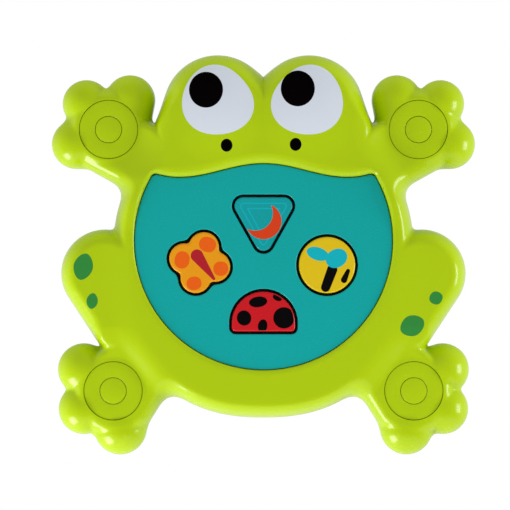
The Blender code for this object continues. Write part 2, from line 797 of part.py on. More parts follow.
def tool(name, patches):
    made = weld(name, patches, None)
    made.hide_render = True
    made.display_type = "WIRE"
    return made


def cut(body, cutter):
    change = body.modifiers.new("cut " + cutter.name, "BOOLEAN")
    change.operation = "DIFFERENCE"
    change.solver = "EXACT"
    change.object = cutter


def add(body, extra):
    change = body.modifiers.new("add " + extra.name, "BOOLEAN")
    change.operation = "UNION"
    change.solver = "EXACT"
    change.object = extra


def opening_loops():
    """The panel opening's edge in front of the ledge and behind it."""
    front = trace(opening_field, (0.0, 0.0), PANEL_TOLERANCE)
    fade = np.clip((LEDGE_TOP_Z + LEDGE_FADE - front[:, 1]) / LEDGE_FADE, 0, 1)
    width = LEDGE_LEAST + (LEDGE - LEDGE_LEAST) * fade
    return front, inset(opening_field, front, width)


def hinge_x():
    """Where the panel's edge crosses the hinge axis."""
    return math.sqrt(PANEL_RADIUS ** 2 - (HINGE_Z - PANEL_Z) ** 2)


def screw_spots():
    return [(side * x, z) for x, z in SCREW_SPOTS for side in (-1, 1)]


# Front shell

def front_shell(outline, finish):
    """The green moulding: a pillowed skin, one wall thick, with a walled opening for the panel."""
    front_hole, rear_hole = opening_loops()
    pocket = CAP_RADIUS + POCKET_CLEARANCE
    bore = NECK_RADIUS + SHELL_GAP
    pockets = [circle(x, z, pocket, CAP_SIDES) for x, z in FEET]
    shoulders = [LIMB_ROUND * (1 - math.cos(math.radians(a))) for a in EDGE_RING_ANGLES]
    rings = [inset(frog_field, outline, depth) for depth in shoulders]
    lips = [inset(opening_field, front_hole, -LIP_WIDTH * share) for share in LIP_RING_SHARES]
    set_points = np.vstack(rings + lips)
    fill = grid(FRONT_GRID)
    fill = fill[frog_field(*fill.T) < -(shoulders[-1] + GRID_CLEAR * FRONT_GRID)]
    fill = fill[opening_field(*fill.T) > LIP_WIDTH]
    set_points = set_points[foot_distance(*set_points.T) > pocket + SHELL_GAP]
    fill = clear_of(fill, np.vstack([set_points] + pockets), GRID_CLEAR * FRONT_GRID)
    points = np.vstack([set_points, fill[foot_distance(*fill.T) > pocket]])
    ledge_y = PANEL_BACK_Y + SHELL_GAP

    def surface(x, z):
        return SPLIT_Y - front_rise(x, z)

    patches = [
        sheet(outline, [front_hole] + pockets, surface, points),
        strip(outline, surface(*outline.T), outline, SPLIT_Y),
        strip(front_hole, surface(*front_hole.T), front_hole, ledge_y),
        strip(front_hole, ledge_y, rear_hole, ledge_y),
        strip(rear_hole, ledge_y, rear_hole, SPLIT_Y),
    ]
    for loop, (x, z) in zip(pockets, FEET):
        neck = circle(x, z, bore, NECK_SIDES)
        patches += [
            strip(loop, surface(*loop.T), loop, CAP_SEAT_Y),
            sheet(loop, [neck], flat_at(CAP_SEAT_Y)),
            strip(neck, CAP_SEAT_Y, neck, SPLIT_Y),
        ]
    shell = weld("front_shell", patches + front_inside(outline, front_hole, rear_hole), finish)
    cut(shell, tool("tongue_notches", tongue_notches()))
    cut(shell, tool("knuckle_notches", knuckle_notches()))
    cut(shell, tool("hinge_bores", hinge_bores()))
    return shell


def front_inside(outline, front_hole, rear_hole):
    """The hollow behind the skin, and the wall ends that meet the rear shell at the split."""
    edge = thin_out(inset(frog_field, outline, WALL), INSIDE_TOLERANCE, INSIDE_LONGEST)
    tube = thin_out(inset(opening_field, front_hole, -WALL), INSIDE_TOLERANCE, INSIDE_LONGEST)
    necks = [circle(x, z, NECK_RADIUS + SHELL_GAP + NECK_TUBE_WALL, NECK_SIDES) for x, z in FEET]
    posts = [circle(x, z, POST_RADIUS, POST_SIDES) for x, z in screw_spots()]
    bosses = []
    low = hinge_x() + KNUCKLE_OFFSET + KNUCKLE_LENGTH + KNUCKLE_SIDE_GAP
    for side in (-1, 1):
        ends = sorted((side * low, side * (low + PIN_BOSS_LENGTH)))
        bosses.append(rectangle(*ends, HINGE_Z - PIN_BOSS_HALF, HINGE_Z + PIN_BOSS_HALF))
    holes = [tube] + necks + posts + bosses
    ring = np.vstack([inset(frog_field, edge, depth) for depth in INSIDE_RINGS])
    inner = WALL + INSIDE_RINGS[-1]
    seat = CAP_RADIUS + POCKET_CLEARANCE + WALL / 2
    seats = [circle(x, z, seat, SEAT_SIDES) for x, z in FEET]
    seats = np.vstack(seats)
    seats = seats[frog_field(*seats.T) < -inner - SEAT_CLEARANCE]
    fill = grid(CAVITY_GRID)
    fill = fill[frog_field(*fill.T) < -(inner + GRID_CLEAR * CAVITY_GRID)]
    fill = fill[opening_field(*fill.T) > WALL + TUBE_CLEARANCE]
    fill = clear_of(fill, np.vstack([ring, seats] + holes), GRID_CLEAR * CAVITY_GRID)
    points = np.vstack([ring, seats, fill])
    for hole in holes:
        points = points[~within(hole, points)]

    def ceiling(x, z):
        return SPLIT_Y - cavity_rise(x, z)

    split = flat_at(SPLIT_Y)
    patches = [
        sheet(edge, holes, ceiling, points),
        sheet(outline, [edge], split),
        sheet(tube, [rear_hole], split),
    ]
    for loop in [edge] + holes:
        patches.append(strip(loop, ceiling(*loop.T), loop, SPLIT_Y))
    for loop, (x, z) in zip(necks, FEET):
        inner = circle(x, z, NECK_RADIUS + SHELL_GAP, NECK_SIDES)
        patches.append(sheet(loop, [inner], split))
    for loop, (x, z) in zip(posts, screw_spots()):
        pilot = circle(x, z, PILOT_RADIUS, POST_SIDES)
        patches.append(sheet(loop, [pilot], split))
        patches.append(strip(pilot, SPLIT_Y, pilot, SPLIT_Y - PILOT_DEPTH))
        patches.append(sheet(pilot, [], flat_at(SPLIT_Y - PILOT_DEPTH)))
    for loop in bosses:
        patches.append(sheet(loop, [], split))
    return patches


def tongue_notches():
    """Room behind the lip for each tongue through the door's whole swing."""
    patches = []
    swing = math.hypot(TONGUE_HEIGHT, TONGUE_DROP + TONGUE_THICKNESS) + NOTCH_CLEARANCE
    front_y = PANEL_Y + TONGUE_DROP - NOTCH_CLEARANCE
    near = hinge_x() - LEDGE
    far = hinge_x() + KNUCKLE_OFFSET + KNUCKLE_LENGTH + KNUCKLE_SIDE_GAP
    for side in (-1, 1):
        low, high = sorted((side * near, side * far))
        patches += box((low, front_y, HINGE_Z - swing), (high, PANEL_Y + swing, HINGE_Z + swing))
    return patches


def knuckle_notches():
    """Room for each knuckle in the thickness behind the lip."""
    patches = []
    reach = KNUCKLE_RADIUS + NOTCH_CLEARANCE
    near = hinge_x() + KNUCKLE_OFFSET - KNUCKLE_SIDE_GAP
    far = hinge_x() + KNUCKLE_OFFSET + KNUCKLE_LENGTH + KNUCKLE_SIDE_GAP / 2
    for side in (-1, 1):
        low, high = sorted((side * near, side * far))
        patches += box((low, PANEL_Y - reach, HINGE_Z - reach),
                       (high, PANEL_Y + TONGUE_DROP, HINGE_Z + reach))
    return patches


def hinge_bores():
    patches = []
    near = hinge_x() + KNUCKLE_OFFSET + KNUCKLE_LENGTH / 2
    far = hinge_x() + KNUCKLE_OFFSET + KNUCKLE_LENGTH + KNUCKLE_SIDE_GAP + BORE_SHARE * PIN_BOSS_LENGTH
    for side in (-1, 1):
        low, high = sorted((side * near, side * far))
        patches += rod(low, high, PANEL_Y, HINGE_Z, PIN_RADIUS + PIN_CLEARANCE, PIN_SIDES)
    return patches


# Rear shell

def rear_shell(outline, finish):
    """The back cover: it closes the limbs, floors the bin and carries the cups and screws."""
    necks = [circle(x, z, NECK_RADIUS + SHELL_GAP, NECK_SIDES) for x, z in FEET]
    heads = [circle(x, z, SCREW_HEAD_RADIUS + PIN_CLEARANCE, POST_SIDES) for x, z in screw_spots()]
    shanks = [circle(x, z, SCREW_RADIUS + PIN_CLEARANCE, POST_SIDES) for x, z in screw_spots()]
    drains = drain_slots()
    rings = [inset(frog_field, outline, BACK_ROUND * share) for share in BACK_RING_SHARES]
    points = np.vstack(rings + step_loops(0))
    for hole in necks + heads + drains:
        points = points[~within(hole, points)]

    def surface(x, z):
        return REAR_Y + back_rise(x, z)

    patches = [
        sheet(outline, necks + heads + drains, surface, points),
        strip(outline, surface(*outline.T), outline, REAR_Y),
    ]
    seat_y = REAR_Y + SCREW_SEAT_WALL
    for head, shank in zip(heads, shanks):
        patches += [
            strip(head, surface(*head.T), head, seat_y),
            strip(head, seat_y, shank, seat_y),
            strip(shank, seat_y, shank, REAR_Y),
        ]
    for neck in necks:
        patches.append(strip(neck, surface(*neck.T), neck, REAR_Y))

    edge = thin_out(inset(frog_field, outline, WALL), INSIDE_TOLERANCE, INSIDE_LONGEST)
    tubes = [circle(x, z, NECK_RADIUS + SHELL_GAP + NECK_TUBE_WALL, NECK_SIDES) for x, z in FEET]
    bosses = [circle(x, z, SCREW_BOSS_RADIUS, POST_SIDES) for x, z in screw_spots()]
    holes = tubes + bosses + drains
    points = np.vstack([inset(frog_field, edge, BACK_ROUND)] + step_loops(WALL))
    for hole in holes:
        points = points[~within(hole, points)]

    def floor(x, z):
        return REAR_Y + back_cavity_rise(x, z)

    split = flat_at(REAR_Y)
    patches += [
        sheet(edge, holes, floor, points),
        sheet(outline, [edge], split),
    ]
    for loop in [edge] + tubes + bosses:
        patches.append(strip(loop, floor(*loop.T), loop, REAR_Y))
    for loop in drains:
        patches.append(strip(loop, floor(*loop.T), loop, surface(*loop.T)))
    for tube, neck in zip(tubes, necks):
        patches.append(sheet(tube, [neck], split))
    for boss, shank in zip(bosses, shanks):
        patches.append(sheet(boss, [shank], split))
    return weld("rear_shell", patches, finish)


def step_loops(inward):
    """Lines along the foot, middle and top of the step where the back bulges behind the bin."""
    loops = []
    for share in np.linspace(0, 1, STEP_LOOPS):
        level = BACK_STEP_IN + inward + BACK_STEP * share

        def field(x, z, level=level):
            return body_field(x, z) + level

        loops.append(trace(field, (0.0, 0.0), STEP_TOLERANCE))
    return loops


def drain_slots():
    """Upright slots with round ends, low in the bin."""
    angle = np.linspace(0, np.pi, SLOT_END_COUNT)
    top = np.column_stack([np.cos(angle), np.sin(angle)]) * DRAIN_WIDTH / 2
    lift = np.array([0, (DRAIN_LENGTH - DRAIN_WIDTH) / 2])
    loop = np.vstack([top + lift, -top - lift])
    places = [(k - (DRAIN_COUNT - 1) / 2) * DRAIN_PITCH for k in range(DRAIN_COUNT)]
    return [loop + [x, DRAIN_Z] for x in places]


# Belly panel and what it carries

def belly_panel(holes, finish, parent):
    """The teal door: a thin crowned plate with four shaped holes and a hinge ear at each side."""
    outline = trace(panel_field, (0.0, 0.0), PANEL_TOLERANCE)
    ring = inset(panel_field, outline, PANEL_EDGE_ROUND)
    rims = [inset(PIECES[name][0], loop, -HOLE_EDGE_ROUND) for name, loop in holes.items()]
    fill = grid(PANEL_GRID)
    fill = fill[panel_field(*fill.T) < -PANEL_GRID_CLEAR * PANEL_GRID]
    fill = clear_of(fill, np.vstack([ring] + rims), PANEL_GRID_CLEAR * PANEL_GRID)
    for loop in holes.values():
        fill = fill[~within(loop, fill)]
    points = np.vstack([ring] + rims + [fill])

    def surface(x, z):
        return PANEL_BACK_Y - panel_front(x, z)

    patches = [
        sheet(outline, list(holes.values()), surface, points),
        sheet(outline, list(holes.values()), flat_at(PANEL_BACK_Y)),
    ]
    for loop in [outline] + list(holes.values()):
        patches.append(strip(loop, surface(*loop.T), loop, PANEL_BACK_Y))
    panel = weld("belly_panel", patches, finish, parent)
    add(panel, tool("hinge_ears", hinge_ears()))
    add(panel, tool("hinge_knuckles", hinge_knuckles()))
    cut(panel, tool("knuckle_bores", knuckle_bores()))
    return panel


def hinge_ears():
    """Tongues behind and above the hinge axis, so that they only swing back into the hollow."""
    patches = []
    low_y = PANEL_Y + TONGUE_DROP
    for side in (-1, 1):
        inner = hinge_x() - TONGUE_INNER
        outer = hinge_x() + KNUCKLE_OFFSET + KNUCKLE_LENGTH
        low, high = sorted((side * inner, side * outer))
        patches += box((low, low_y, HINGE_Z + TONGUE_FOOT),
                       (high, low_y + TONGUE_THICKNESS, HINGE_Z + TONGUE_HEIGHT))
    return patches


def hinge_knuckles():
    patches = []
    near = hinge_x() + KNUCKLE_OFFSET
    for side in (-1, 1):
        low, high = sorted((side * near, side * (near + KNUCKLE_LENGTH)))
        patches += rod(low, high, PANEL_Y, HINGE_Z, KNUCKLE_RADIUS, PIN_SIDES)
    return patches


def knuckle_bores():
    patches = []
    near = hinge_x() + KNUCKLE_OFFSET - REACH
    far = near + KNUCKLE_LENGTH + 2 * REACH
    for side in (-1, 1):
        low, high = sorted((side * near, side * far))
        patches += rod(low, high, PANEL_Y, HINGE_Z, PIN_RADIUS + PIN_CLEARANCE, PIN_SIDES)
    return patches


def grip_liner(holes, finish, parent):
    """The black rubber sheet behind the panel, with a collar standing up through each hole."""
    outline = trace(liner_field, (0.0, 0.0), INSIDE_TOLERANCE)
    front_y = PANEL_BACK_Y + SHELL_GAP
    back_y = front_y + LINER_THICKNESS
    top_y = PANEL_Y + COLLAR_SINK
    outer, inner = [], []
    for name, loop in holes.items():
        field = PIECES[name][0]
        outer.append(inset(field, loop, COLLAR_GAP))
        inner.append(inset(field, loop, COLLAR_GAP + COLLAR_WALL))
    patches = [
        sheet(outline, outer, flat_at(front_y)),
        sheet(outline, inner, flat_at(back_y)),
        strip(outline, front_y, outline, back_y),
    ]
    for wide, narrow in zip(outer, inner):
        patches.append(strip(wide, front_y, wide, top_y))
        patches.append(strip(wide, top_y, narrow, top_y))
        patches.append(strip(narrow, top_y, narrow, back_y))
    return weld("grip_liner", patches, finish, parent)


def shape_piece(name, hole, finishes, parent):
    """A hollow float in two mouldings: a deep front and a base that plugs it."""
    field = PIECES[name][0]
    side = COLLAR_GAP + COLLAR_WALL + PIECE_GAP
    outline = inset(field, hole, side)
    face = inset(field, hole, side + PIECE_EDGE_ROUND)
    hollow = inset(field, hole, side + PIECE_WALL)
    front_y = PANEL_Y - PIECE_PROUD
    base_y = front_y + PIECE_DEPTH
    seam_y = base_y - BASE_FLANGE - SHELL_GAP
    weld(name + "_piece_front", [
        sheet(face, [], flat_at(front_y)),
        strip(face, front_y, outline, front_y + PIECE_EDGE_ROUND),
        strip(outline, front_y + PIECE_EDGE_ROUND, outline, seam_y),
        strip(outline, seam_y, hollow, seam_y),
        strip(hollow, seam_y, hollow, front_y + PIECE_WALL),
        sheet(hollow, [], flat_at(front_y + PIECE_WALL)),
    ], finishes[0], parent)
    spigot = inset(field, hole, side + PIECE_WALL + SHELL_GAP)
    weld(name + "_piece_base", [
        sheet(outline, [], flat_at(base_y)),
        strip(outline, base_y, outline, base_y - BASE_FLANGE),
        strip(outline, base_y - BASE_FLANGE, spigot, base_y - BASE_FLANGE),
        strip(spigot, base_y - BASE_FLANGE, spigot, base_y - BASE_FLANGE - BASE_SPIGOT),
        sheet(spigot, [], flat_at(base_y - BASE_FLANGE - BASE_SPIGOT)),
    ], finishes[1], parent)


def hinge_pins(finish):
    near = hinge_x() + KNUCKLE_OFFSET + PIN_END_GAP
    far = near + KNUCKLE_LENGTH + KNUCKLE_SIDE_GAP + PIN_SHARE * PIN_BOSS_LENGTH
    for side, name in ((-1, "left_hinge_pin"), (1, "right_hinge_pin")):
        low, high = sorted((side * near, side * far))
        weld(name, rod(low, high, PANEL_Y, HINGE_Z, PIN_RADIUS, PIN_SIDES), finish)


# Feet

def suction_cup(name, x, z, finish):
    """A soft cup whose hollow neck runs through both shells to a bead behind the cap."""
    seat = REAR_Y + BACK_LIMB_RISE + SHELL_GAP
    flange = seat + CUP_FLANGE
    bead = CAP_SEAT_Y - SHELL_GAP
    weld(name + "_suction_cup", turned([
        (0, flange + CUP_THICKNESS / 2), (CUP_RADIUS - CUP_RIM, 0.0), (CUP_RADIUS, 0.0),
        (CUP_RADIUS, -CUP_EDGE), (CUP_FLANGE_RADIUS, flange), (CUP_FLANGE_RADIUS, seat),
        (NECK_RADIUS, seat),
        (NECK_RADIUS, bead), (NECK_BEAD_RADIUS, bead), (NECK_BEAD_RADIUS, bead - NECK_BEAD),
        (NECK_BORE, bead - NECK_BEAD), (NECK_BORE, seat - NECK_FLOOR), (0, seat - NECK_FLOOR),
    ], x, z, CUP_SIDES), finish)


def foot_cap(name, x, z, finish):
    """The round cap in its pocket: a ring, and the plug that spreads the cup's neck."""
    hole = PLUG_RADIUS + PIN_CLEARANCE
    seat = LIMB_Y + CAP_DEPTH
    edge = CAP_EDGE_ROUND
    weld(name + "_cap_ring", turned([
        (hole, LIMB_Y + edge), (hole + edge, LIMB_Y), (CAP_RADIUS - edge, LIMB_Y),
        (CAP_RADIUS, LIMB_Y + edge), (CAP_RADIUS, seat), (hole, seat),
    ], x, z, CAP_SIDES, closed=True), finish)
    head = LIMB_Y + PLUG_HEAD
    end = head + PLUG_STEM_LENGTH
    weld(name + "_cap_plug", turned([
        (0, LIMB_Y - PLUG_CROWN), (PLUG_RADIUS - edge, LIMB_Y), (PLUG_RADIUS, LIMB_Y + edge),
        (PLUG_RADIUS, head), (PLUG_STEM_RADIUS, head), (PLUG_STEM_RADIUS, end - PLUG_TIP),
        (PLUG_STEM_RADIUS * PLUG_TIP_SHARE, end), (0, end),
    ], x, z, PLUG_SIDES), finish)


def case_screw(name, x, z, finish):
    """A pan-head screw driven from behind, with a cross recess."""
    head_y = REAR_Y + SCREW_SEAT_WALL + SHELL_GAP
    back = head_y + SCREW_HEAD
    tip = head_y - SCREW_LENGTH
    screw = weld(name, turned([
        (0, tip), (SCREW_RADIUS * SCREW_TIP_SHARE, tip),
        (SCREW_RADIUS, tip + SCREW_TIP), (SCREW_RADIUS, head_y),
        (SCREW_HEAD_RADIUS, head_y), (SCREW_HEAD_RADIUS, head_y + SCREW_HEAD_SIDE),
        (SCREW_HEAD_RADIUS - SCREW_HEAD_BEVEL, back), (0, back),
    ], x, z, POST_SIDES), finish)
    arm = SCREW_HEAD_RADIUS * CROSS_SHARE
    half = SCREW_CROSS / 2
    cross = np.array([
        [arm, -half], [arm, half], [half, half], [half, arm], [-half, arm], [-half, half],
        [-arm, half], [-arm, -half], [-half, -half], [-half, -arm], [half, -arm], [half, -half],
    ]) + [x, z]
    cut(screw, tool(name + "_cross", prism(cross, back - CROSS_DEPTH, back + REACH)))


def main():
    for old in list(bpy.data.objects):
        bpy.data.objects.remove(old)
    green = material("lime moulded plastic", (0.45, 0.56, 0.012), 0.28)
    back_green = material("lime back cover plastic", (0.42, 0.52, 0.012), 0.40)
    teal = material("teal moulded plastic", (0.0, 0.37, 0.36), 0.30)
    black = material("black soft rubber", (0.012, 0.012, 0.014), 0.60)
    clear = material("clear soft vinyl", (0.75, 0.80, 0.78), 0.15)
    steel = material("stainless steel", (0.60, 0.60, 0.62), 0.30, 1.0)
    fronts = {
        "triangle": material("teal piece plastic", (0.0, 0.35, 0.36), 0.25),
        "flower": material("orange piece plastic", (0.75, 0.27, 0.006), 0.25),
        "round": material("yellow piece plastic", (0.72, 0.50, 0.008), 0.25),
        "dome": material("red piece plastic", (0.60, 0.012, 0.016), 0.25),
    }
    outline = trace(frog_field, (0.0, 0.0), OUTLINE_TOLERANCE)
    front_shell(outline, green)
    rear_shell(trace(frog_field, (0.0, 0.0), BACK_TOLERANCE), back_green)
    for name, (x, z) in zip(FOOT_NAMES, FEET):
        suction_cup(name, x, z, clear)
        foot_cap(name, x, z, green)
    for k, (x, z) in enumerate(screw_spots()):
        case_screw("case_screw_%d" % (k + 1), x, z, steel)
    hinge_pins(steel)
    hinge = bpy.data.objects.new("belly_hinge", None)
    bpy.context.collection.objects.link(hinge)
    hinge.location = (0, PANEL_Y, HINGE_Z)
    bpy.context.view_layer.update()
    holes = {}
    for name, (field, middle) in PIECES.items():
        loop = trace(field, middle, SHAPE_TOLERANCE, middle[0] == 0, SHAPE_LONGEST)
        holes[name] = bends(loop)
    belly_panel(holes, teal, hinge)
    grip_liner(holes, black, hinge)
    for name, finish in fronts.items():
        shape_piece(name, holes[name], (finish, finish), hinge)


main()
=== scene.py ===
import math

import bpy
import numpy as np
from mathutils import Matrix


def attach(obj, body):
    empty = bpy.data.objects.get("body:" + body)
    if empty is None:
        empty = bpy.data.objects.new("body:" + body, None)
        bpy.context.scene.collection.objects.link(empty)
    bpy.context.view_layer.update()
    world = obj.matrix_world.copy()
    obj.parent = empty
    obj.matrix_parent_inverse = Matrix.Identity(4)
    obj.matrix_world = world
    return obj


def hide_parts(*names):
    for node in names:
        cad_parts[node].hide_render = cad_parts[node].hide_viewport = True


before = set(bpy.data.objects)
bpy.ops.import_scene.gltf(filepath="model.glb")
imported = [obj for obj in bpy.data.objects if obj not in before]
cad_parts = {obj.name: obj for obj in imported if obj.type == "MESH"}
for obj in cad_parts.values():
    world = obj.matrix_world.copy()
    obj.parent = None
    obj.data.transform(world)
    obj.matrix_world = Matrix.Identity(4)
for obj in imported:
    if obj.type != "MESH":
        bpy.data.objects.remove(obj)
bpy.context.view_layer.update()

# A wall-hung bath toy frog. Its front faces -Y and the wall is the plane y = 0. Lengths are in metres.
# A rise is a height in front of the plane where the front shell meets the back cover.
print("frame loaded:", len(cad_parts), "nodes")


# Numbers shared by several pieces
seams = {
    "splitY": -0.0120,  # front shell's rear edge
    "coverY": -0.0117,  # back cover's front edge, a 0.3 mm seam away
    "wall": 0.0025, "panelRise": 0.0245, "limbRise": 0.0195,
}
panelY = seams["splitY"] - seams["panelRise"]
limbY = seams["splitY"] - seams["limbRise"]


# Helpers for flat outlines. A field is negative inside its outline and is about the distance to it.

def disc(x, z, cx, cz, radius):  # distance to a circle
    return np.hypot(x - cx, z - cz) - radius


def bar(x, z, start, end):  # distance to a round-ended bar whose radius runs evenly from end to end
    dx, dz = end[0] - start[0], end[1] - start[1]
    along = np.clip(((x - start[0]) * dx + (z - start[1]) * dz) / (dx * dx + dz * dz), 0, 1)
    radius = start[2] + (end[2] - start[2]) * along
    return np.hypot(x - start[0] - dx * along, z - start[1] - dz * along) - radius


def egg(x, z, cz, halfWidth, up, down, squareness):
    # |x/a|^p + |z/b|^p = 1, where b is up or down and p is 2 above the middle and squareness below
    lower = z < cz
    height = np.where(lower, down, up)
    power = np.where(lower, squareness, 2.0)
    ratio = ((np.abs(x) / halfWidth) ** power + (np.abs(z - cz) / height) ** power + 1e-9) ** (1 / power)
    return np.hypot(x, z - cz) * (1 - 1 / ratio)


def softMin(a, b, blend):  # the lower of two, eased over the blend by a parabola
    return np.minimum(a, b) - np.maximum(blend - np.abs(a - b), 0) ** 2 / (4 * blend)


def softMax(a, b, blend):
    return -softMin(-a, -b, blend)


def roundMax(a, b, radius):  # overlap of two outlines with their corner rounded
    outside = np.hypot(np.maximum(a + radius, 0), np.maximum(b + radius, 0))
    return np.minimum(np.maximum(a, b) + radius, 0) + outside - radius


def slope(field, points):  # at each point the field's value, its unit gradient and the gradient's size
    step, least = 2e-6, 0.2
    x, z = points[:, 0], points[:, 1]
    here = field(x, z)
    grad = np.column_stack([field(x + step, z) - field(x - step, z), field(x, z + step) - field(x, z - step)])
    grad = grad / (2 * step)
    size = np.maximum(np.linalg.norm(grad, axis=1, keepdims=True), least)
    return here, grad / size, size[:, 0]


def settle(field, points, level):  # Newton steps onto one level of the field
    for _ in range(4):
        here, out, size = slope(field, points)
        points = points - ((here - level) / size)[:, None] * out
    return points


# Helpers for meshes

def addMesh(name, verts, faces, body, sharp=35):
    mesh = bpy.data.meshes.new(name)
    mesh.from_pydata(verts.tolist(), [], faces)
    mesh.validate()
    mesh.shade_smooth()
    mesh.set_sharp_from_angle(angle=math.radians(sharp))
    piece = bpy.data.objects.new(name, mesh)
    bpy.context.collection.objects.link(piece)
    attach(piece, body)
    return piece


def addPrint(piece, name, distance):  # a printed shape as its signed distance in millimetres, kept per vertex
    layer = piece.data.attributes.new(name, "FLOAT", "POINT")
    layer.data.foreach_set("value", (distance * 1000).astype(np.float32))


def gridPlan(field, pitch, levels, reach):
    # A square grid is kept where the field is below the first level, and its border points are moved
    # onto that level. Rows of points then go out along the field's slope, one row to each further level.
    half = math.ceil(reach / pitch)
    line = np.arange(-half, half + 1) * pitch
    x, z = [v.ravel() for v in np.meshgrid(line, line, indexing="ij")]
    points = np.column_stack([x, z])
    value, _, size = slope(field, points)
    value = (value - levels[0]) / size
    snap = np.abs(value) < 0.5 * pitch
    count = len(line)
    signs = np.where(snap, 0, value).reshape(count, count)
    for a, b in ((np.s_[:-1, :], np.s_[1:, :]), (np.s_[:, :-1], np.s_[:, 1:])):
        crossing = signs[a] * signs[b] < 0
        nearer = np.abs(signs[a]) < np.abs(signs[b])
        first, second = np.zeros_like(signs, bool), np.zeros_like(signs, bool)
        first[a] = crossing & nearer
        second[b] = crossing & ~nearer
        signs = np.where(first | second, 0, signs)
    signs = signs.ravel()
    moved = (signs == 0) & (np.abs(value) < 2 * pitch)
    points[moved] = settle(field, points[moved], levels[0])
    corner = np.arange(count * count).reshape(count, count)
    cells = np.stack([corner[:-1, :-1], corner[1:, :-1], corner[1:, 1:], corner[:-1, 1:]], axis=-1)
    cells = cells.reshape(-1, 4)
    above = signs[cells] > 0
    middle = points[cells].mean(axis=1)
    inside = field(middle[:, 0], middle[:, 1]) < levels[0]
    quads = cells[(above.sum(axis=1) == 0) & inside]
    triangles = []
    for k in range(4):
        others = cells[:, [(k + 1) % 4, (k + 2) % 4, (k + 3) % 4]]
        keep = (above.sum(axis=1) == 1) & above[:, k] & (signs[cells[:, (k + 2) % 4]] < 0)
        triangles.append(others[keep])
    triangles = np.vstack(triangles)
    used = np.unique(np.concatenate([quads.ravel(), triangles.ravel()]))
    points, quads, triangles = points[used], np.searchsorted(used, quads), np.searchsorted(used, triangles)
    starts = np.concatenate([quads.ravel(), triangles.ravel()])
    ends = np.concatenate([np.roll(quads, -1, axis=1).ravel(), np.roll(triangles, -1, axis=1).ravel()])
    total = len(points)
    isOpen = ~np.isin(starts * total + ends, ends * total + starts)
    starts, ends = starts[isOpen], ends[isOpen]
    border = np.unique(starts)
    starts, ends = np.searchsorted(border, starts), np.searchsorted(border, ends)
    rows, faces = [points], quads.tolist() + triangles.tolist()
    row, ids = points[border], border
    for level in levels[1:]:
        row = settle(field, row, level)
        fresh = sum(len(r) for r in rows) + np.arange(len(border))
        faces += np.column_stack([ids[ends], ids[starts], fresh[starts], fresh[ends]]).tolist()
        rows.append(row)
        ids = fresh
    return {"points": np.vstack(rows), "faces": faces, "rim": np.column_stack([ids[starts], ids[ends]])}


def addPlate(name, plan, frontY, backY, body):
    # Two sheets over one plan, joined by a wall along every rim
    x, z = plan["points"].T
    total = len(x)
    front = np.column_stack([x, frontY(x, z), z])
    back = np.column_stack([x, backY(x, z), z])
    start, end = plan["rim"].T
    faces = plan["faces"] + [[k + total for k in reversed(face)] for face in plan["faces"]]
    faces += np.column_stack([end, start, start + total, end + total]).tolist()
    return addMesh(name, np.vstack([front, back]), faces, body)


def ringGrid(rows, around, loop=False):  # faces between stacked rings; a loop joins the last to the first
    ring = np.arange(around)
    follow = np.roll(ring, -1)
    faces = []
    for k in range(rows if loop else rows - 1):
        low, high = k * around, (k + 1) % rows * around
        faces += np.column_stack([low + ring, low + follow, high + follow, high + ring]).tolist()
    return faces


def closeEnds(verts, faces, around, cx, cz, firstY, lastY):  # a fan from each end ring to its middle point
    ring = np.arange(around)
    follow = np.roll(ring, -1)
    total, last = len(verts), len(verts) - around
    faces += np.column_stack([follow, ring, np.full(around, total)]).tolist()
    faces += np.column_stack([last + ring, last + follow, np.full(around, total + 1)]).tolist()
    return np.vstack([verts, [[cx, firstY, cz], [cx, lastY, cz]]])


def addTurned(name, profile, cx, cz, body, around=96, loop=False):
    # A profile of (r, y) turned about Y. Unless it is a loop, it starts and ends at a pole, where r is 0.
    profile = np.array(profile)
    angle = np.arange(around) * 2 * np.pi / around
    rows = profile if loop else profile[1:-1]
    radius, depth = rows[:, :1], rows[:, 1:] + 0 * angle
    verts = np.stack([cx + radius * np.cos(angle), depth, cz + radius * np.sin(angle)], axis=-1)
    verts = verts.reshape(-1, 3)
    faces = ringGrid(len(rows), around, loop)
    if not loop:
        verts = closeEnds(verts, faces, around, cx, cz, profile[0][1], profile[-1][1])
    return addMesh(name, verts, faces, body)


def starLoop(field, cx, cz, level, around, reach=0.16):  # where rays from the centre meet a level, by halving
    angle = np.arange(around) * 2 * np.pi / around
    near, far = np.zeros(around), np.full(around, reach)
    for _ in range(40):
        mid = (near + far) / 2
        outside = field(cx + mid * np.cos(angle), cz + mid * np.sin(angle)) > level
        near, far = np.where(outside, near, mid), np.where(outside, mid, far)
    return np.column_stack([cx + near * np.cos(angle), cz + near * np.sin(angle)])


def addShaped(name, field, cx, cz, profile, body, around=240, loop=False, fill=(0.8, 0.55, 0.3, 0.1)):
    # A profile of (inset, y) carried round a star-shaped outline. Unless it is a loop, both ends are filled
    # to the centre by rings scaled by the fill shares.
    centre = np.array([cx, cz])
    rings = [(starLoop(field, cx, cz, -inset, around), y) for inset, y in profile]
    if not loop:
        (first, firstY), (last, lastY) = rings[0], rings[-1]
        rings = [(centre + (first - centre) * s, firstY) for s in sorted(fill)] + rings
        rings += [(centre + (last - centre) * s, lastY) for s in sorted(fill, reverse=True)]
    flat = np.vstack([ring for ring, _ in rings])
    verts = np.column_stack([flat[:, 0], np.repeat([y for _, y in rings], around), flat[:, 1]])
    faces = ringGrid(len(rings), around, loop)
    if not loop:
        verts = closeEnds(verts, faces, around, cx, cz, firstY, lastY)
    return addMesh(name, verts, faces, body)


# Helpers for materials

def hexColour(text):  # sRGB hex to the linear values that Blender uses
    parts = [int(text[k:k + 2], 16) / 255 for k in (1, 3, 5)]
    return (*[c / 12.92 if c <= 0.04045 else ((c + 0.055) / 1.055) ** 2.4 for c in parts], 1.0)


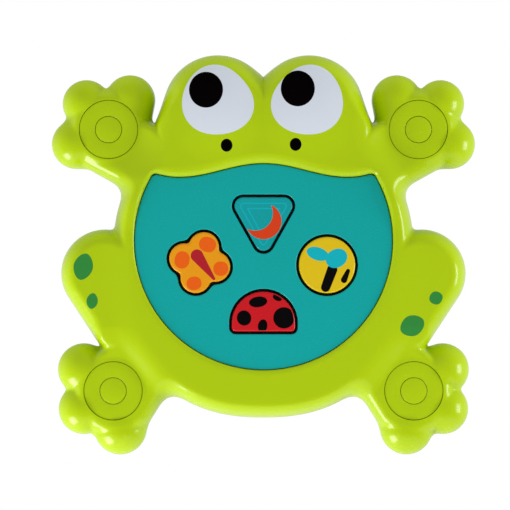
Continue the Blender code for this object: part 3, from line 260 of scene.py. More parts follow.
def addNode(tree, kind, links=None, values=None, **settings):  # one node, its settings, inputs and links
    node = tree.nodes.new("ShaderNode" + kind)
    for key, value in settings.items():
        setattr(node, key, value)
    for key, value in (values or {}).items():
        node.inputs[key].default_value = value
    for key, source in (links or {}).items():
        tree.links.new(source, node.inputs[key])
    return node


def newMaterial(name, **values):
    material = bpy.data.materials.new(name)
    material.use_nodes = True
    tree = material.node_tree
    shader = tree.nodes["Principled BSDF"]
    for key, value in values.items():
        shader.inputs[key.replace("_", " ")].default_value = value
    return material, tree, shader


def give(things, material):
    for thing in things:
        thing.data.materials.clear()
        thing.data.materials.append(material)


# Camera: the photograph is frontal, so a long lens far in front, level with the toy's middle
view = {"width": 0.3555, "x": -0.0059, "z": 0.0035, "lens": 250.0, "sensor": 36.0}
cameraData = bpy.data.cameras.new("photoCamera")
cameraData.lens = view["lens"]
cameraData.sensor_width = view["sensor"]
camera = bpy.data.objects.new("photoCamera", cameraData)
bpy.context.collection.objects.link(camera)
camera.location = (view["x"], limbY - view["width"] * view["lens"] / view["sensor"], view["z"])
camera.rotation_euler = (math.radians(90), 0, 0)
bpy.context.scene.camera = camera


# Frog body outline. A toe is a short bar: x and z of its tip and root from the cap's centre, and its radius.
belly = {"z": 0.0122, "halfWidth": 0.1050, "up": 0.0982, "down": 0.1227, "squareness": 2.36}
head = {"z": 0.0829, "halfWidth": 0.0775, "halfHeight": 0.0332, "browBlend": 0.0217, "neckBlend": 0.0080}
eye = {"x": 0.0321, "z": 0.1054, "radius": 0.0382, "domeRise": 0.0035}
arm = {
    "x": 0.1080, "z": 0.0910, "palm": 0.0247,
    "shoulder": (0.0719, 0.0641, 0.0253), "wrist": (0.1142, 0.0875, 0.0251),
    "toes": ((0.0161, 0.0185, 0.0158, 0.0180, 0.0167), (-0.0145, 0.0211, -0.0120, 0.0084, 0.0175),
             (0.0231, -0.0098, 0.0226, -0.0094, 0.0173)),
}
leg = {
    "x": 0.1048, "z": -0.0912, "palm": 0.0285,
    "hip": (0.0652, -0.0472, 0.0230), "ankle": (0.1032, -0.0948, 0.0300),
    "toes": ((0.0212, 0.0146, 0.0207, 0.0142, 0.0181), (0.0211, -0.0132, 0.0206, -0.0128, 0.0177),
             (-0.0045, -0.0268, -0.0040, -0.0250, 0.0184)),
    "thighTop": (0.1110, -0.0094, 0.0308), "thighEnd": (0.0928, -0.0400, 0.0292), "thighBlend": 0.0039,
}
join = {  # how softly a limb's outline runs into the body's: tight in the slot beside the head, wide below
    "slot": 0.0012, "armpit": 0.0102, "groin": 0.0138, "slotZ": 0.0880, "softZ": 0.0600, "toe": 0.0042,
    "palm": 0.0040,
}
skin = {  # pairs are for the belly's part and the head's part
    "edgeRise": 0.0020, "limbRound": (0.0110, 0.0145), "round": (0.0100, 0.0085), "rimRound": 0.0085,
    "rimTop": 0.0450, "web": 0.0135, "toeRise": 0.0206, "toeBlend": 0.0025, "palmGrow": -0.0010,
    "rampStart": 0.0215, "rampEnd": (0.0450, 0.0460), "rampRise": (0.0050, 0.0090),
    "upperZ": (0.0560, 0.0740), "flankOut": (-0.0090, -0.0060), "flankIn": (0.0130, 0.0280),
    "padEdge": 0.0210, "padFall": 0.0060, "padDrop": 0.0060, "padBlend": 0.0012,
    "pitch": 0.0011, "reach": 0.1550,
    "notches": ((0.0766, 0.0966, 0.0260, 0.35), (0.1137, -0.0620, 0.0220, 0.40)),  # x, z, reach, share
}
# The ring round the panel: its lower part is nearly flush, and it rises smoothly beside the mouth
ring = {
    "lowZ": 0.0180, "highZ": 0.0440, "rise": (0.0262, 0.0292), "lipRise": (0.0015, 0.0050),
    "lipWidth": (0.0025, 0.0050), "lipMore": 0.0050,
}
feet = {
    "left_hand": (-arm["x"], arm["z"]), "right_hand": (arm["x"], arm["z"]),
    "left_foot": (-leg["x"], leg["z"]), "right_foot": (leg["x"], leg["z"]),
}


def ease(value, low, high):  # 0 below low and 1 above high, with a level start and end
    share = np.clip((value - low) / (high - low), 0, 1)
    return share * share * (3 - 2 * share)


def bellyField(x, z):
    return egg(x, z, belly["z"], belly["halfWidth"], belly["up"], belly["down"], belly["squareness"])


def headField(x, z):
    brow = egg(x, z, head["z"], head["halfWidth"], head["halfHeight"], head["halfHeight"], 2.0)
    return softMin(brow, disc(np.abs(x), z, eye["x"], eye["z"], eye["radius"]), head["browBlend"])


def bodyField(x, z):
    return softMin(bellyField(x, z), headField(x, z), head["neckBlend"])


def limbField(x, z, grow=0.0):  # the palms may be grown
    x = np.abs(x)
    palm = disc(x, z, arm["x"], arm["z"], arm["palm"] + grow)
    sole = disc(x, z, leg["x"], leg["z"], leg["palm"])
    hand = softMin(palm, bar(x, z, arm["wrist"], arm["shoulder"]), join["palm"])
    foot = softMin(sole, bar(x, z, leg["ankle"], leg["hip"]), join["palm"])
    return np.minimum(hand, foot)


def coreField(x, z, grow=0.0):  # everything but the toes
    low = np.where(z > 0, join["armpit"], join["groin"])
    blend = low + (join["slot"] - low) * ease(z, join["softZ"], join["slotZ"])
    core = softMin(bodyField(x, z), limbField(x, z, grow), blend)
    return softMin(core, bar(np.abs(x), z, leg["thighTop"], leg["thighEnd"]), leg["thighBlend"])


toes = [((limb["x"] + a, limb["z"] + b, r), (limb["x"] + c, limb["z"] + d, r))
        for limb in (arm, leg) for a, b, c, d, r in limb["toes"]]


def frogField(x, z):
    field = coreField(x, z)
    for tip, root in toes:
        field = softMin(field, bar(np.abs(x), z, tip, root), join["toe"])
    return field


def footDistance(x, z):
    x = np.abs(x)
    return np.minimum(np.hypot(x - arm["x"], z - arm["z"]), np.hypot(x - leg["x"], z - leg["z"]))


# Belly panel outline: a disc cut off by the mouth line, a cosine wave that lifts again at its corners
panel = {
    "radius": 0.0897, "z": 0.0134, "top": 0.0669, "dip": 0.0574, "dipX": 0.0588, "cornerX": 0.0775,
    "cornerLift": 0.0030, "cornerRound": 0.0022, "gap": 0.0005, "thickness": 0.0030, "crown": 0.0015,
    "edgeRound": 0.0010, "holeRound": 0.0008, "pitch": 0.0016, "reach": 0.1100,
}
panelBackY = panelY + panel["thickness"]


def mouthLine(x):
    x = np.abs(x)
    middle = panel["dip"] + (panel["top"] - panel["dip"]) * (1 + np.cos(np.pi * x / panel["dipX"])) / 2
    past = np.clip((x - panel["dipX"]) / (panel["cornerX"] - panel["dipX"]), 0, 1.3)
    corner = panel["dip"] + panel["cornerLift"] * (1 - np.cos(past * np.pi / 2))
    return np.where(x < panel["dipX"], middle, corner)


def panelField(x, z):
    return roundMax(disc(x, z, 0, panel["z"], panel["radius"]), z - mouthLine(x), panel["cornerRound"])


def openingField(x, z):
    return panelField(x, z) - panel["gap"]


# Front shell's skin
def quarter(depth, width, low, high):  # quarter of an ellipse from low at the outline to high at the width
    share = np.clip(depth / width, 0, 1)
    return np.where(depth > 0, low + (high - low) * np.sqrt(1 - (1 - share) ** 2), low)


def cheek(z, lowAndHigh):  # goes smoothly from a low value round the belly to a high one beside the mouth
    return lowAndHigh[0] + (lowAndHigh[1] - lowAndHigh[0]) * ease(z, ring["lowZ"], ring["highZ"])


def frontRise(x, z):
    # A level per place, from limb to body and to the eye's dome, is rounded off towards the outline by a
    # quarter ellipse. Toes are half ellipsoids, the pad round a cap falls away by a parabola, and a lip
    # leads down to the panel.
    edge, width = skin["edgeRise"], np.abs(x)
    upper = ease(z, *skin["upperZ"])

    def pair(key):
        return skin[key][0] + (skin[key][1] - skin[key][0]) * upper

    onBody = ease(-bodyField(x, z), pair("flankOut"), pair("flankIn"))
    along = np.clip((footDistance(x, z) - skin["rampStart"]) / (pair("rampEnd") - skin["rampStart"]), 0, 1)
    limbs = seams["limbRise"] + pair("rampRise") * (along + ease(along, 0, 1)) / 2
    inEye = 1 - ((width - eye["x"]) ** 2 + (z - eye["z"]) ** 2) / eye["radius"] ** 2
    dome = eye["domeRise"] * np.clip(inEye, 0, 1) ** 2
    level = limbs + (cheek(z, ring["rise"]) + dome - limbs) * onBody
    roundness = pair("limbRound") + (cheek(z, skin["round"]) - pair("limbRound")) * onBody
    sharpen = 1.0
    for cx, cz, reach, share in skin["notches"]:
        sharpen = sharpen * (share + (1 - share) * ease(np.hypot(width - cx, z - cz), 0, reach))
    rise = quarter(-coreField(x, z, skin["palmGrow"]), roundness * sharpen, edge, level)
    for tip, root in toes:
        share = np.clip(1 - (1 + bar(width, z, tip, root) / tip[2]) ** 2, 0, 1)
        rise = softMax(rise, edge + (skin["toeRise"] - edge) * np.sqrt(share), skin["toeBlend"])
    outline = -frogField(x, z)
    past = np.clip((footDistance(x, z) - skin["padEdge"]) / skin["padFall"], 0, 4)
    rise = softMax(rise, seams["limbRise"] - skin["padDrop"] * past ** 2, skin["padBlend"])
    rise = softMax(rise, quarter(outline, skin["rimRound"], edge, skin["web"]), skin["toeBlend"])
    rise = np.minimum(rise, quarter(outline, skin["rimRound"] * sharpen, edge, skin["rimTop"]))
    out = np.clip(openingField(x, z), 0, None)
    lipWidth = cheek(z, ring["lipWidth"]) + ring["lipMore"] * ease(z, panel["dip"], panel["top"])
    lip = quarter(out, lipWidth, 0, cheek(z, ring["lipRise"])) + np.maximum(out - lipWidth, 0)
    return np.minimum(rise, seams["panelRise"] + lip)


# Caps, their pockets, and the hinge's room behind the lip
cap = {
    "radius": 0.0203, "clearance": 0.0003, "depth": 0.0037, "edge": 0.0005, "plug": 0.0091, "plugGap": 0.0003,
}
hinge = {
    "z": 0.0524, "x": 0.0808, "near": -0.0028, "far": 0.0070, "reach": 0.0066, "tongueRise": 0.0236,
    "knuckleNear": 0.0022, "knuckleReach": 0.0033, "knuckleRise": 0.0277,
    "knuckleStart": 0.0026, "knuckleLength": 0.0036, "knuckleRadius": 0.0028,
    "tongueStart": -0.0060, "tongueDrop": 0.0013, "tongueThickness": 0.0025, "tongueHeight": 0.0046,
    "tongueLift": 0.0003, "tonguePower": 0.35, "bevel": 0.0003, "bevelShare": 0.86, "around": 32,
}


def shellField(x, z):
    pockets = cap["radius"] + cap["clearance"] - footDistance(x, z)
    return np.maximum(np.maximum(frogField(x, z), -openingField(x, z)), pockets)


def hingeRoom(x, z):  # how far the hinge's hollow reaches forward of the split
    side = np.abs(x) - hinge["x"]
    away = np.abs(z - hinge["z"])
    tongue = (side > hinge["near"]) & (side < hinge["far"]) & (away < hinge["reach"])
    knuckle = (side > hinge["knuckleNear"]) & (side < hinge["far"]) & (away < hinge["knuckleReach"])
    return np.where(knuckle, hinge["knuckleRise"], np.where(tongue, hinge["tongueRise"], 0))


roundLevels = [-skin["rimRound"] * (1 - math.cos(math.radians(a))) for a in (29, 23, 17, 11, 6, 2, 0)]
shellPlan = gridPlan(shellField, skin["pitch"], roundLevels, skin["reach"])
frontShell = addPlate(
    "front_shell_skin", shellPlan,
    lambda x, z: seams["splitY"] - frontRise(x, z),
    lambda x, z: seams["splitY"] - hingeRoom(x, z), "frog")
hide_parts("front_shell")
print("front shell skin:", len(frontShell.data.vertices), "points")


# Prints on the front shell: eyes, nostrils and thigh spots
whites = {
    "middleX": -0.0007, "x": 0.0308, "z": 0.1114, "mean": 0.0245,
    "waves": ((0.0011, -54.8), (0.0006, 32.5), (0.0010, -38.8)),
}
pupils = {"halfWidth": 0.0118, "halfHeight": 0.0125, "places": ((-0.0399, 0.1182), (0.0238, 0.1191))}
nostrils = {"halfWidth": 0.0041, "halfHeight": 0.0045, "places": ((-0.0256, 0.0797), (0.0223, 0.0803))}
spots = {  # centre, half width, half height, turn in degrees
    "places": ((-0.1254, -0.0046, 0.0068, 0.0094, -14), (-0.1192, -0.0285, 0.0040, 0.0056, -8),
               (0.1200, -0.0264, 0.0048, 0.0047, 20), (0.1035, -0.0457, 0.0088, 0.0073, 25)),
    "power": 1.75,
}


def whitesField(x, z):  # a circle whose radius carries one, two and three waves round it
    u, v = np.abs(x - whites["middleX"]) - whites["x"], z - whites["z"]
    turn = np.arctan2(v, u)
    radius = whites["mean"]
    for waves, (size, lean) in enumerate(whites["waves"], 1):
        radius = radius + size * np.cos(waves * (turn - math.radians(lean)))
    return np.hypot(u, v) - radius


def leafField(x, z, cx, cz, halfWidth, halfHeight, turn, power):  # |u/a|^p + |v/b|^p = 1, turned
    c, s = math.cos(math.radians(turn)), math.sin(math.radians(turn))
    u, v = (x - cx) * c + (z - cz) * s, (z - cz) * c - (x - cx) * s
    ratio = ((np.abs(u) / halfWidth) ** power + (np.abs(v) / halfHeight) ** power + 1e-9) ** (1 / power)
    return np.hypot(u, v) * (1 - 1 / ratio)


def leaves(x, z, places, power=2.0):  # nearest of several
    return np.min([leafField(x, z, *place, power) for place in places], axis=0)


def ovals(x, z, shape):  # nearest of several equal ellipses
    return leaves(x, z, [(*place, shape["halfWidth"], shape["halfHeight"], 0) for place in shape["places"]])


shellX, shellZ = np.tile(shellPlan["points"], (2, 1)).T
addPrint(frontShell, "whites", whitesField(shellX, shellZ))
addPrint(frontShell, "blacks", np.minimum(ovals(shellX, shellZ, pupils), ovals(shellX, shellZ, nostrils)))
addPrint(frontShell, "spots", leaves(shellX, shellZ, spots["places"], spots["power"]))


# Ledge that the door closes on, a band round the inside of the opening
ledge = {
    "width": 0.0028, "least": 0.0003, "topZ": 0.0300, "fade": 0.0100, "around": 720, "gap": 0.0003,
    "root": 0.0010, "bevel": 0.0004, "bevelShare": 0.85,
}
ledgeFront = panelBackY + ledge["gap"]
outerLoop = starLoop(openingField, 0, panel["z"], ledge["root"], ledge["around"])
innerLoop = starLoop(openingField, 0, panel["z"], 0, ledge["around"])
fade = np.clip((ledge["topZ"] + ledge["fade"] - innerLoop[:, 1]) / ledge["fade"], 0, 1)
ledgeWidth = ledge["least"] + (ledge["width"] - ledge["least"]) * fade
_, outward, _ = slope(openingField, innerLoop)
ledgeLoop = innerLoop - ledgeWidth[:, None] * outward
ledgeRound = innerLoop - (ledgeWidth * ledge["bevelShare"])[:, None] * outward
ledgeRows = [(outerLoop, ledgeFront), (ledgeRound, ledgeFront), (ledgeLoop, ledgeFront + ledge["bevel"]),
             (ledgeLoop, seams["splitY"]), (outerLoop, seams["splitY"])]
ledgeRings = [np.column_stack([loop[:, 0], np.full(len(loop), y), loop[:, 1]]) for loop, y in ledgeRows]
ledgeFaces = ringGrid(len(ledgeRows), ledge["around"], loop=True)
ledgeBand = addMesh("front_shell_ledge", np.vstack(ledgeRings), ledgeFaces, "frog")


# Back cover
cover = {
    "edgeRise": 0.0016, "limbRise": 0.0040, "bodyRise": 0.0070, "round": 0.0050, "stepIn": 0.0060,
    "step": 0.0100, "insideFade": 0.0020, "holeRound": 0.0005, "holeReach": 0.0007, "pitch": 0.0016,
    "levels": (-0.0016, -0.0011, -0.0007, -0.0003, -0.0001, 0),
}
drains = {"count": 5, "spacing": 0.0140, "width": 0.0040, "length": 0.0200, "z": -0.0402}
screws = {
    "places": ((0.0326, 0.1020), (0.1180, -0.0077), (0.0790, -0.0790)), "radius": 0.0028, "head": 0.0020,
    "shank": 0.0012, "length": 0.0100, "seat": 0.0018, "lift": 0.0003, "clearance": 0.0003, "cross": 0.0007,
    "crossReach": 0.0017, "crossDepth": 0.0010, "crossSlope": 0.0002, "dome": 0.0007, "side": 0.0010,
    "tip": 0.0012, "tipRadius": 0.0004, "around": 96,
}


def coverBack(x, z):  # flat limbs, and a smooth step to a deeper bin behind the belly
    share = ease(-bodyField(x, z), cover["stepIn"], cover["stepIn"] + cover["step"])
    full = cover["limbRise"] + (cover["bodyRise"] - cover["limbRise"]) * share
    return quarter(-frogField(x, z), cover["round"], cover["edgeRise"], full)


def coverInside(x, z):  # one wall behind the back, and nothing within one wall of the outline
    depth = np.clip((-frogField(x, z) - seams["wall"]) / cover["insideFade"], 0, 1)
    return np.clip(coverBack(x, z) - seams["wall"], 0, None) * depth


def drainField(x, z):
    middle = (drains["count"] - 1) / 2
    nearest = np.clip(np.round(x / drains["spacing"]), -middle, middle) * drains["spacing"]
    straight = (drains["length"] - drains["width"]) / 2
    return np.hypot(x - nearest, np.maximum(np.abs(z - drains["z"]) - straight, 0)) - drains["width"] / 2


def screwField(x, z):
    reach = screws["radius"] + screws["clearance"]
    return np.min([disc(np.abs(x), z, cx, cz, reach) for cx, cz in screws["places"]], axis=0)


def coverField(x, z):
    return np.maximum(np.maximum(frogField(x, z), -drainField(x, z)), -screwField(x, z))


def coverOutside(x, z):  # the back, rounded off at its holes
    hole = quarter(np.minimum(drainField(x, z), screwField(x, z)), cover["holeReach"], 0, cover["holeRound"])
    return coverBack(x, z) - cover["holeRound"] + hole


coverPlan = gridPlan(coverField, cover["pitch"], cover["levels"], skin["reach"])
backCover = addPlate(
    "back_cover", coverPlan,
    lambda x, z: seams["coverY"] + coverInside(x, z),
    lambda x, z: seams["coverY"] + coverOutside(x, z), "frog")
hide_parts("rear_shell")
print("back cover:", len(backCover.data.vertices), "points")


# Shape pieces' outlines
triangle = {"halfTop": 0.0141, "topZ": 0.0376, "tipZ": 0.0124, "round": 0.0080}
flower = {
    "x": -0.0443, "z": -0.0018, "reach": 0.0111, "lobe": 0.0124, "heart": 0.8, "count": 4, "turn": 75,
    "blend": 0.0030,
}
roundOne = {"x": 0.0442, "z": -0.0035, "radius": 0.0215}
dome = {"z": -0.0439, "radius": 0.0239, "foot": -0.0516, "corner": 0.0045}


def triangleField(x, z):
    x = np.abs(x)
    top = np.hypot(np.maximum(x - triangle["halfTop"], 0), z - triangle["topZ"])
    dx, dz = triangle["halfTop"], triangle["topZ"] - triangle["tipZ"]
    along = np.clip((x * dx + (z - triangle["tipZ"]) * dz) / (dx * dx + dz * dz), 0, 1)
    side = np.hypot(x - dx * along, z - triangle["tipZ"] - dz * along)
    within = (z < triangle["topZ"]) & (x * dz < (z - triangle["tipZ"]) * dx)
    return np.where(within, -1, 1) * np.minimum(top, side) - triangle["round"]


def flowerField(x, z):
    reach = flower["reach"]
    field = disc(x, z, flower["x"], flower["z"], reach * flower["heart"])
    for k in range(flower["count"]):
        turn = math.radians(flower["turn"] + 360 * k / flower["count"])
        cx, cz = flower["x"] + reach * math.cos(turn), flower["z"] + reach * math.sin(turn)
        field = softMin(field, disc(x, z, cx, cz, flower["lobe"]), flower["blend"])
    return field


def roundField(x, z):
    return disc(x, z, roundOne["x"], roundOne["z"], roundOne["radius"])


def domeField(x, z):
    side = np.where(z > dome["z"], np.hypot(x, z - dome["z"]), np.abs(x)) - dome["radius"]
    return roundMax(side, dome["foot"] - z, dome["corner"])


shapes = {
    "triangle": (triangleField, 0.0, 0.0270), "flower": (flowerField, flower["x"], flower["z"]),
    "round": (roundField, roundOne["x"], roundOne["z"]), "dome": (domeField, 0.0, -0.0410),
}


# Belly panel: crowned front, rounded rim and rounded hole edges
def holesField(x, z):
    return np.min([field(x, z) for field, _, _ in shapes.values()], axis=0)


def plateField(x, z):
    return np.maximum(panelField(x, z), -holesField(x, z))


def panelFront(x, z):
    crown = panel["crown"] * np.clip(1 - (x ** 2 + (z - panel["z"]) ** 2) / panel["radius"] ** 2, 0, 1)
    rim = panel["edgeRound"] - quarter(-panelField(x, z), panel["edgeRound"], 0, panel["edgeRound"])
    holes = panel["holeRound"] - quarter(holesField(x, z), panel["holeRound"], 0, panel["holeRound"])
    return panel["thickness"] + crown - rim - holes


panelLevels = (-0.0016, -0.0010, -0.00075, -0.0005, -0.0003, -0.00015, -0.00004, 0)
panelPlan = gridPlan(plateField, panel["pitch"], panelLevels, panel["reach"])
bellyPanel = addPlate(
    "belly_panel_plate", panelPlan,
    lambda x, z: panelBackY - panelFront(x, z),
    lambda x, z: np.full_like(x, panelBackY), "belly_door")
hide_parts("belly_panel")
print("belly panel:", len(bellyPanel.data.vertices), "points")


# Hinge ears: a flat tongue and a round knuckle at each side, carried along X
def addEar(name, side):
    around, bevel, share = hinge["around"], hinge["bevel"], hinge["bevelShare"]
    angle = np.arange(around) * 2 * np.pi / around
    tongueHalf = np.array([hinge["tongueThickness"] / 2, (hinge["tongueHeight"] - hinge["tongueLift"]) / 2])
    middle = np.array([panelY + hinge["tongueDrop"], hinge["z"] + hinge["tongueLift"]]) + tongueHalf
    corner = np.column_stack([np.cos(angle), np.sin(angle)])
    slab = np.sign(corner) * np.abs(corner) ** hinge["tonguePower"] * tongueHalf + middle  # rounded rectangle
    barrel = corner * hinge["knuckleRadius"] + [panelY, hinge["z"]]
    high = hinge["knuckleStart"] + hinge["knuckleLength"]
    verts, faces = [], []
    for outline, low in ((slab, hinge["tongueStart"]), (barrel, hinge["knuckleStart"])):
        middleOf = outline.mean(axis=0)
        rows = [(low, 0.0), (low, share), (low + bevel, 1.0), (high - bevel, 1.0), (high, share), (high, 0.0)]
        base = sum(len(v) for v in verts)
        for x, scale in rows:
            ring = middleOf + (outline - middleOf) * scale
            verts.append(np.column_stack([np.full(around, side * (hinge["x"] + x)), ring]))
        for face in ringGrid(len(rows), around):
            faces.append([base + k for k in (face if side < 0 else face[::-1])])
    return addMesh(name, np.vstack(verts), faces, "belly_door")


ears = [addEar("belly_panel_left_ear", -1), addEar("belly_panel_right_ear", 1)]


# Grip liner: a rubber sheet behind the panel with a collar up through each hole
# Its black sheet and collars are partly painted shade: they stand in for the dark of the gaps round the
# pieces.
liner = {
    "z": -0.0026, "top": 0.0495, "corner": 0.0060, "clearance": 0.0009, "thickness": 0.0010, "gap": 0.0003,
    "pitch": 0.0018, "reach": 0.0900, "levels": (-0.0012, -0.0004, 0),
}
collar = {"gap": 0.0003, "wall": 0.0010, "sink": 0.0012, "root": 0.0002, "bevelIn": 0.0002, "bevel": 0.0003}
linerRadius = panel["radius"] + panel["gap"] - ledge["width"] - liner["clearance"] - (panel["z"] - liner["z"])
linerY = panelBackY + liner["gap"]


def linerField(x, z):
    outline = roundMax(disc(x, z, 0, liner["z"], linerRadius), z - liner["top"], liner["corner"])
    return np.maximum(outline, -(holesField(x, z) + collar["gap"] + collar["wall"]))


linerPlan = gridPlan(linerField, liner["pitch"], liner["levels"], liner["reach"])
gripSheet = addPlate(
    "grip_liner_sheet", linerPlan, lambda x, z: np.full_like(x, linerY),
    lambda x, z: np.full_like(x, linerY + liner["thickness"]), "belly_door")
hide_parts("grip_liner")
collars = []
top, foot = panelY + collar["sink"], linerY + liner["thickness"] - collar["root"]
outer, inner = collar["gap"], collar["gap"] + collar["wall"]
ridge = [
    (outer, foot), (outer, top + collar["bevel"]), (outer + collar["bevelIn"], top),
    (inner - collar["bevelIn"], top), (inner, top + collar["bevel"]), (inner, foot),
]
for name, (field, cx, cz) in shapes.items():
    collars.append(addShaped("grip_collar_" + name, field, cx, cz, ridge, "belly_door", loop=True))


# Shape pieces: a deep front with a rounded edge, and a base that plugs it
piece = {
    "gap": 0.0006, "depth": 0.0130, "proud": 0.0012, "edge": 0.0014, "flange": 0.0020, "seam": 0.0003,
    "bevel": 0.0004, "faceIn": 0.0008, "flangeBevel": 0.0003,
    "baseEdge": ((0, -0.0007), (0.0002, -0.0003), (0.0007, 0), (0.0024, 0)),  # inset, and height off the back
    "slots": {
        "triangle": "teal_piece", "flower": "orange_piece", "round": "yellow_piece", "dome": "red_piece",
    },
}
side = collar["gap"] + collar["wall"] + piece["gap"]
faceY = panelY - piece["proud"]
baseY = faceY + piece["depth"]
flangeY = baseY - piece["flange"]
seamY = flangeY - piece["seam"]
frontProfile = [(side + piece["bevel"], seamY), (side, seamY - piece["bevel"])]
for turn in range(90, -1, -10):
    across, up = math.sin(math.radians(turn)), math.cos(math.radians(turn))
    frontProfile.append((side + piece["edge"] * (1 - across), faceY + piece["edge"] * (1 - up)))
frontProfile.append((side + piece["edge"] + piece["faceIn"], faceY))
baseProfile = [(side + piece["flangeBevel"], flangeY), (side, flangeY + piece["flangeBevel"])]
baseProfile += [(side + inset, baseY + height) for inset, height in piece["baseEdge"]]
fronts, bases = {}, {}
for name, (field, cx, cz) in shapes.items():
    body = name + "_piece"
    fronts[name] = addShaped(name + "_float_front", field, cx, cz, frontProfile, body, around=360,
                             fill=np.linspace(1, 0.04, 34)[1:])
    bases[name] = addShaped(name + "_float_base", field, cx, cz, baseProfile, body)
    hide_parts(name + "_piece_front")
    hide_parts(name + "_piece_base")
print("shape pieces:", len(fronts))


# Caps, plugs and suction cups
cup = {
    "neck": 0.0056, "bead": 0.0078, "beadLength": 0.0013, "bore": 0.0028, "boreFloor": 0.0010,
    "radius": 0.0215, "lip": 0.0012, "lipEdge": 0.0003, "lipBack": 0.0007, "flange": 0.0090,
    "flangeLength": 0.0012, "lift": 0.0003, "hollow": 0.0009, "bowPower": 2.6, "flarePower": 0.75,
}
plug = {
    "crown": 0.0006, "skirt": 0.0020, "stem": 0.0025, "stemLength": 0.0120, "tip": 0.0015, "length": 0.0130,
}
seatY = limbY + cap["depth"]
cupSeat = seams["coverY"] + cover["limbRise"] + cup["lift"]


def cornerArc(radius, outward):  # quarter circle from the caps' front to a wall at the radius
    turns = np.linspace(0, np.pi / 2, 5)
    return [(radius - outward * cap["edge"] * (1 - math.sin(t)), limbY + cap["edge"] * (1 - math.cos(t)))
            for t in turns]


hole, flat = cap["plug"] + cap["plugGap"], cap["plug"] - cap["edge"]
ringArcs = cornerArc(hole, -1)[::-1] + cornerArc(cap["radius"], 1)
ringProfile = [(hole, seatY)] + ringArcs + [(cap["radius"], seatY)]
crown = [(flat * s, limbY - plug["crown"] * (1 - s * s)) for s in (0, 0.25, 0.5, 0.75, 1.0)]
stem = [(cap["plug"], plug["skirt"]), (plug["stem"], plug["skirt"]), (plug["stem"], plug["stemLength"]),
        (plug["tip"], plug["length"]), (0, plug["length"])]
plugProfile = crown + cornerArc(cap["plug"], 1)[1:] + [(r, limbY + depth) for r, depth in stem]

# Cup: a bowed hollow, a thin lip on the wall, the outside, a flange, and a neck and bead with a blind bore
flangeTop = cupSeat + cup["flangeLength"]
within, roofY = cup["radius"] - cup["lip"], flangeTop + cup["hollow"]
hollow = [(s * within, roofY * (1 - s ** cup["bowPower"])) for s in np.linspace(0, 1, 12)]
lip = [(cup["radius"] - cup["lipEdge"], 0.0), (cup["radius"], -cup["lipEdge"])]
flare, rimY = cup["flange"] - cup["radius"], -cup["lipBack"]
outside = [(cup["radius"] + flare * s, (flangeTop - rimY) * s ** cup["flarePower"] + rimY)
           for s in np.linspace(0, 1, 9)]
beadY, boreY = seatY - cup["beadLength"], cupSeat - cup["boreFloor"]
neck = [(cup["flange"], cupSeat), (cup["neck"], cupSeat), (cup["neck"], seatY), (cup["bead"], seatY),
        (cup["bead"], beadY), (cup["bore"], beadY), (cup["bore"], boreY), (0, boreY)]
cupProfile = (hollow + lip + outside + neck)[::-1]
rings, plugs, cups = [], [], []
for name, (cx, cz) in feet.items():
    rings.append(addTurned(name + "_cap_ring_turned", ringProfile, cx, cz, "frog", around=128, loop=True))
    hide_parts(name + "_cap_ring")
    plugs.append(addTurned(name + "_cap_plug_turned", plugProfile, cx, cz, "frog"))
    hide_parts(name + "_cap_plug")
    cups.append(addTurned(name + "_cup_turned", cupProfile, cx, cz, "frog"))
    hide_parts(name + "_suction_cup")
print("caps and cups:", len(rings) + len(plugs) + len(cups))


# Case screws: pan heads with a pressed cross recess, a height over rings and turns
def addScrew(name, cx, cz):
    headY = seams["coverY"] + screws["seat"] + screws["lift"]
    back, around, wide, slim = headY + screws["head"], screws["around"], screws["radius"], screws["shank"]
    angle = np.arange(around) * 2 * np.pi / around
    radius = np.concatenate([np.linspace(0.02, 0.72, 22), np.linspace(0.78, 1, 6)]) * wide
    r, t = [v.ravel() for v in np.meshgrid(radius, angle, indexing="ij")]
    u, v = r * np.cos(t), r * np.sin(t)
    far, near = np.maximum(np.abs(u), np.abs(v)), np.minimum(np.abs(u), np.abs(v))
    arms = np.maximum(far - screws["crossReach"], near - screws["cross"] / 2)
    recess = screws["crossDepth"] * np.clip(-arms / screws["crossSlope"], 0, 1)
    crown = back - screws["dome"] * (r / wide) ** 4 - recess
    tipY = headY - screws["length"]
    rows = np.array([(wide, back - screws["side"]), (wide, headY), (slim, headY),
                     (slim, tipY + screws["tip"]), (screws["tipRadius"], tipY)])
    out, depth = rows[:, :1], rows[:, 1:] + 0 * angle
    below = np.stack([out * np.cos(angle), depth, out * np.sin(angle)], axis=-1)
    verts = np.vstack([np.column_stack([u, crown, v]), below.reshape(-1, 3)]) + [cx, 0, cz]
    faces = ringGrid(len(radius) + len(rows), around)
    verts = closeEnds(verts, faces, around, cx, cz, back - screws["crossDepth"], tipY)
    return addMesh(name, verts, [face[::-1] for face in faces], "frog", 30)


newScrews = []
for k, (cx, cz) in enumerate([(turn * x, z) for x, z in screws["places"] for turn in (-1, 1)], 1):
    newScrews.append(addScrew("case_screw_head_%d" % k, cx, cz))
    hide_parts("case_screw_%d" % k)


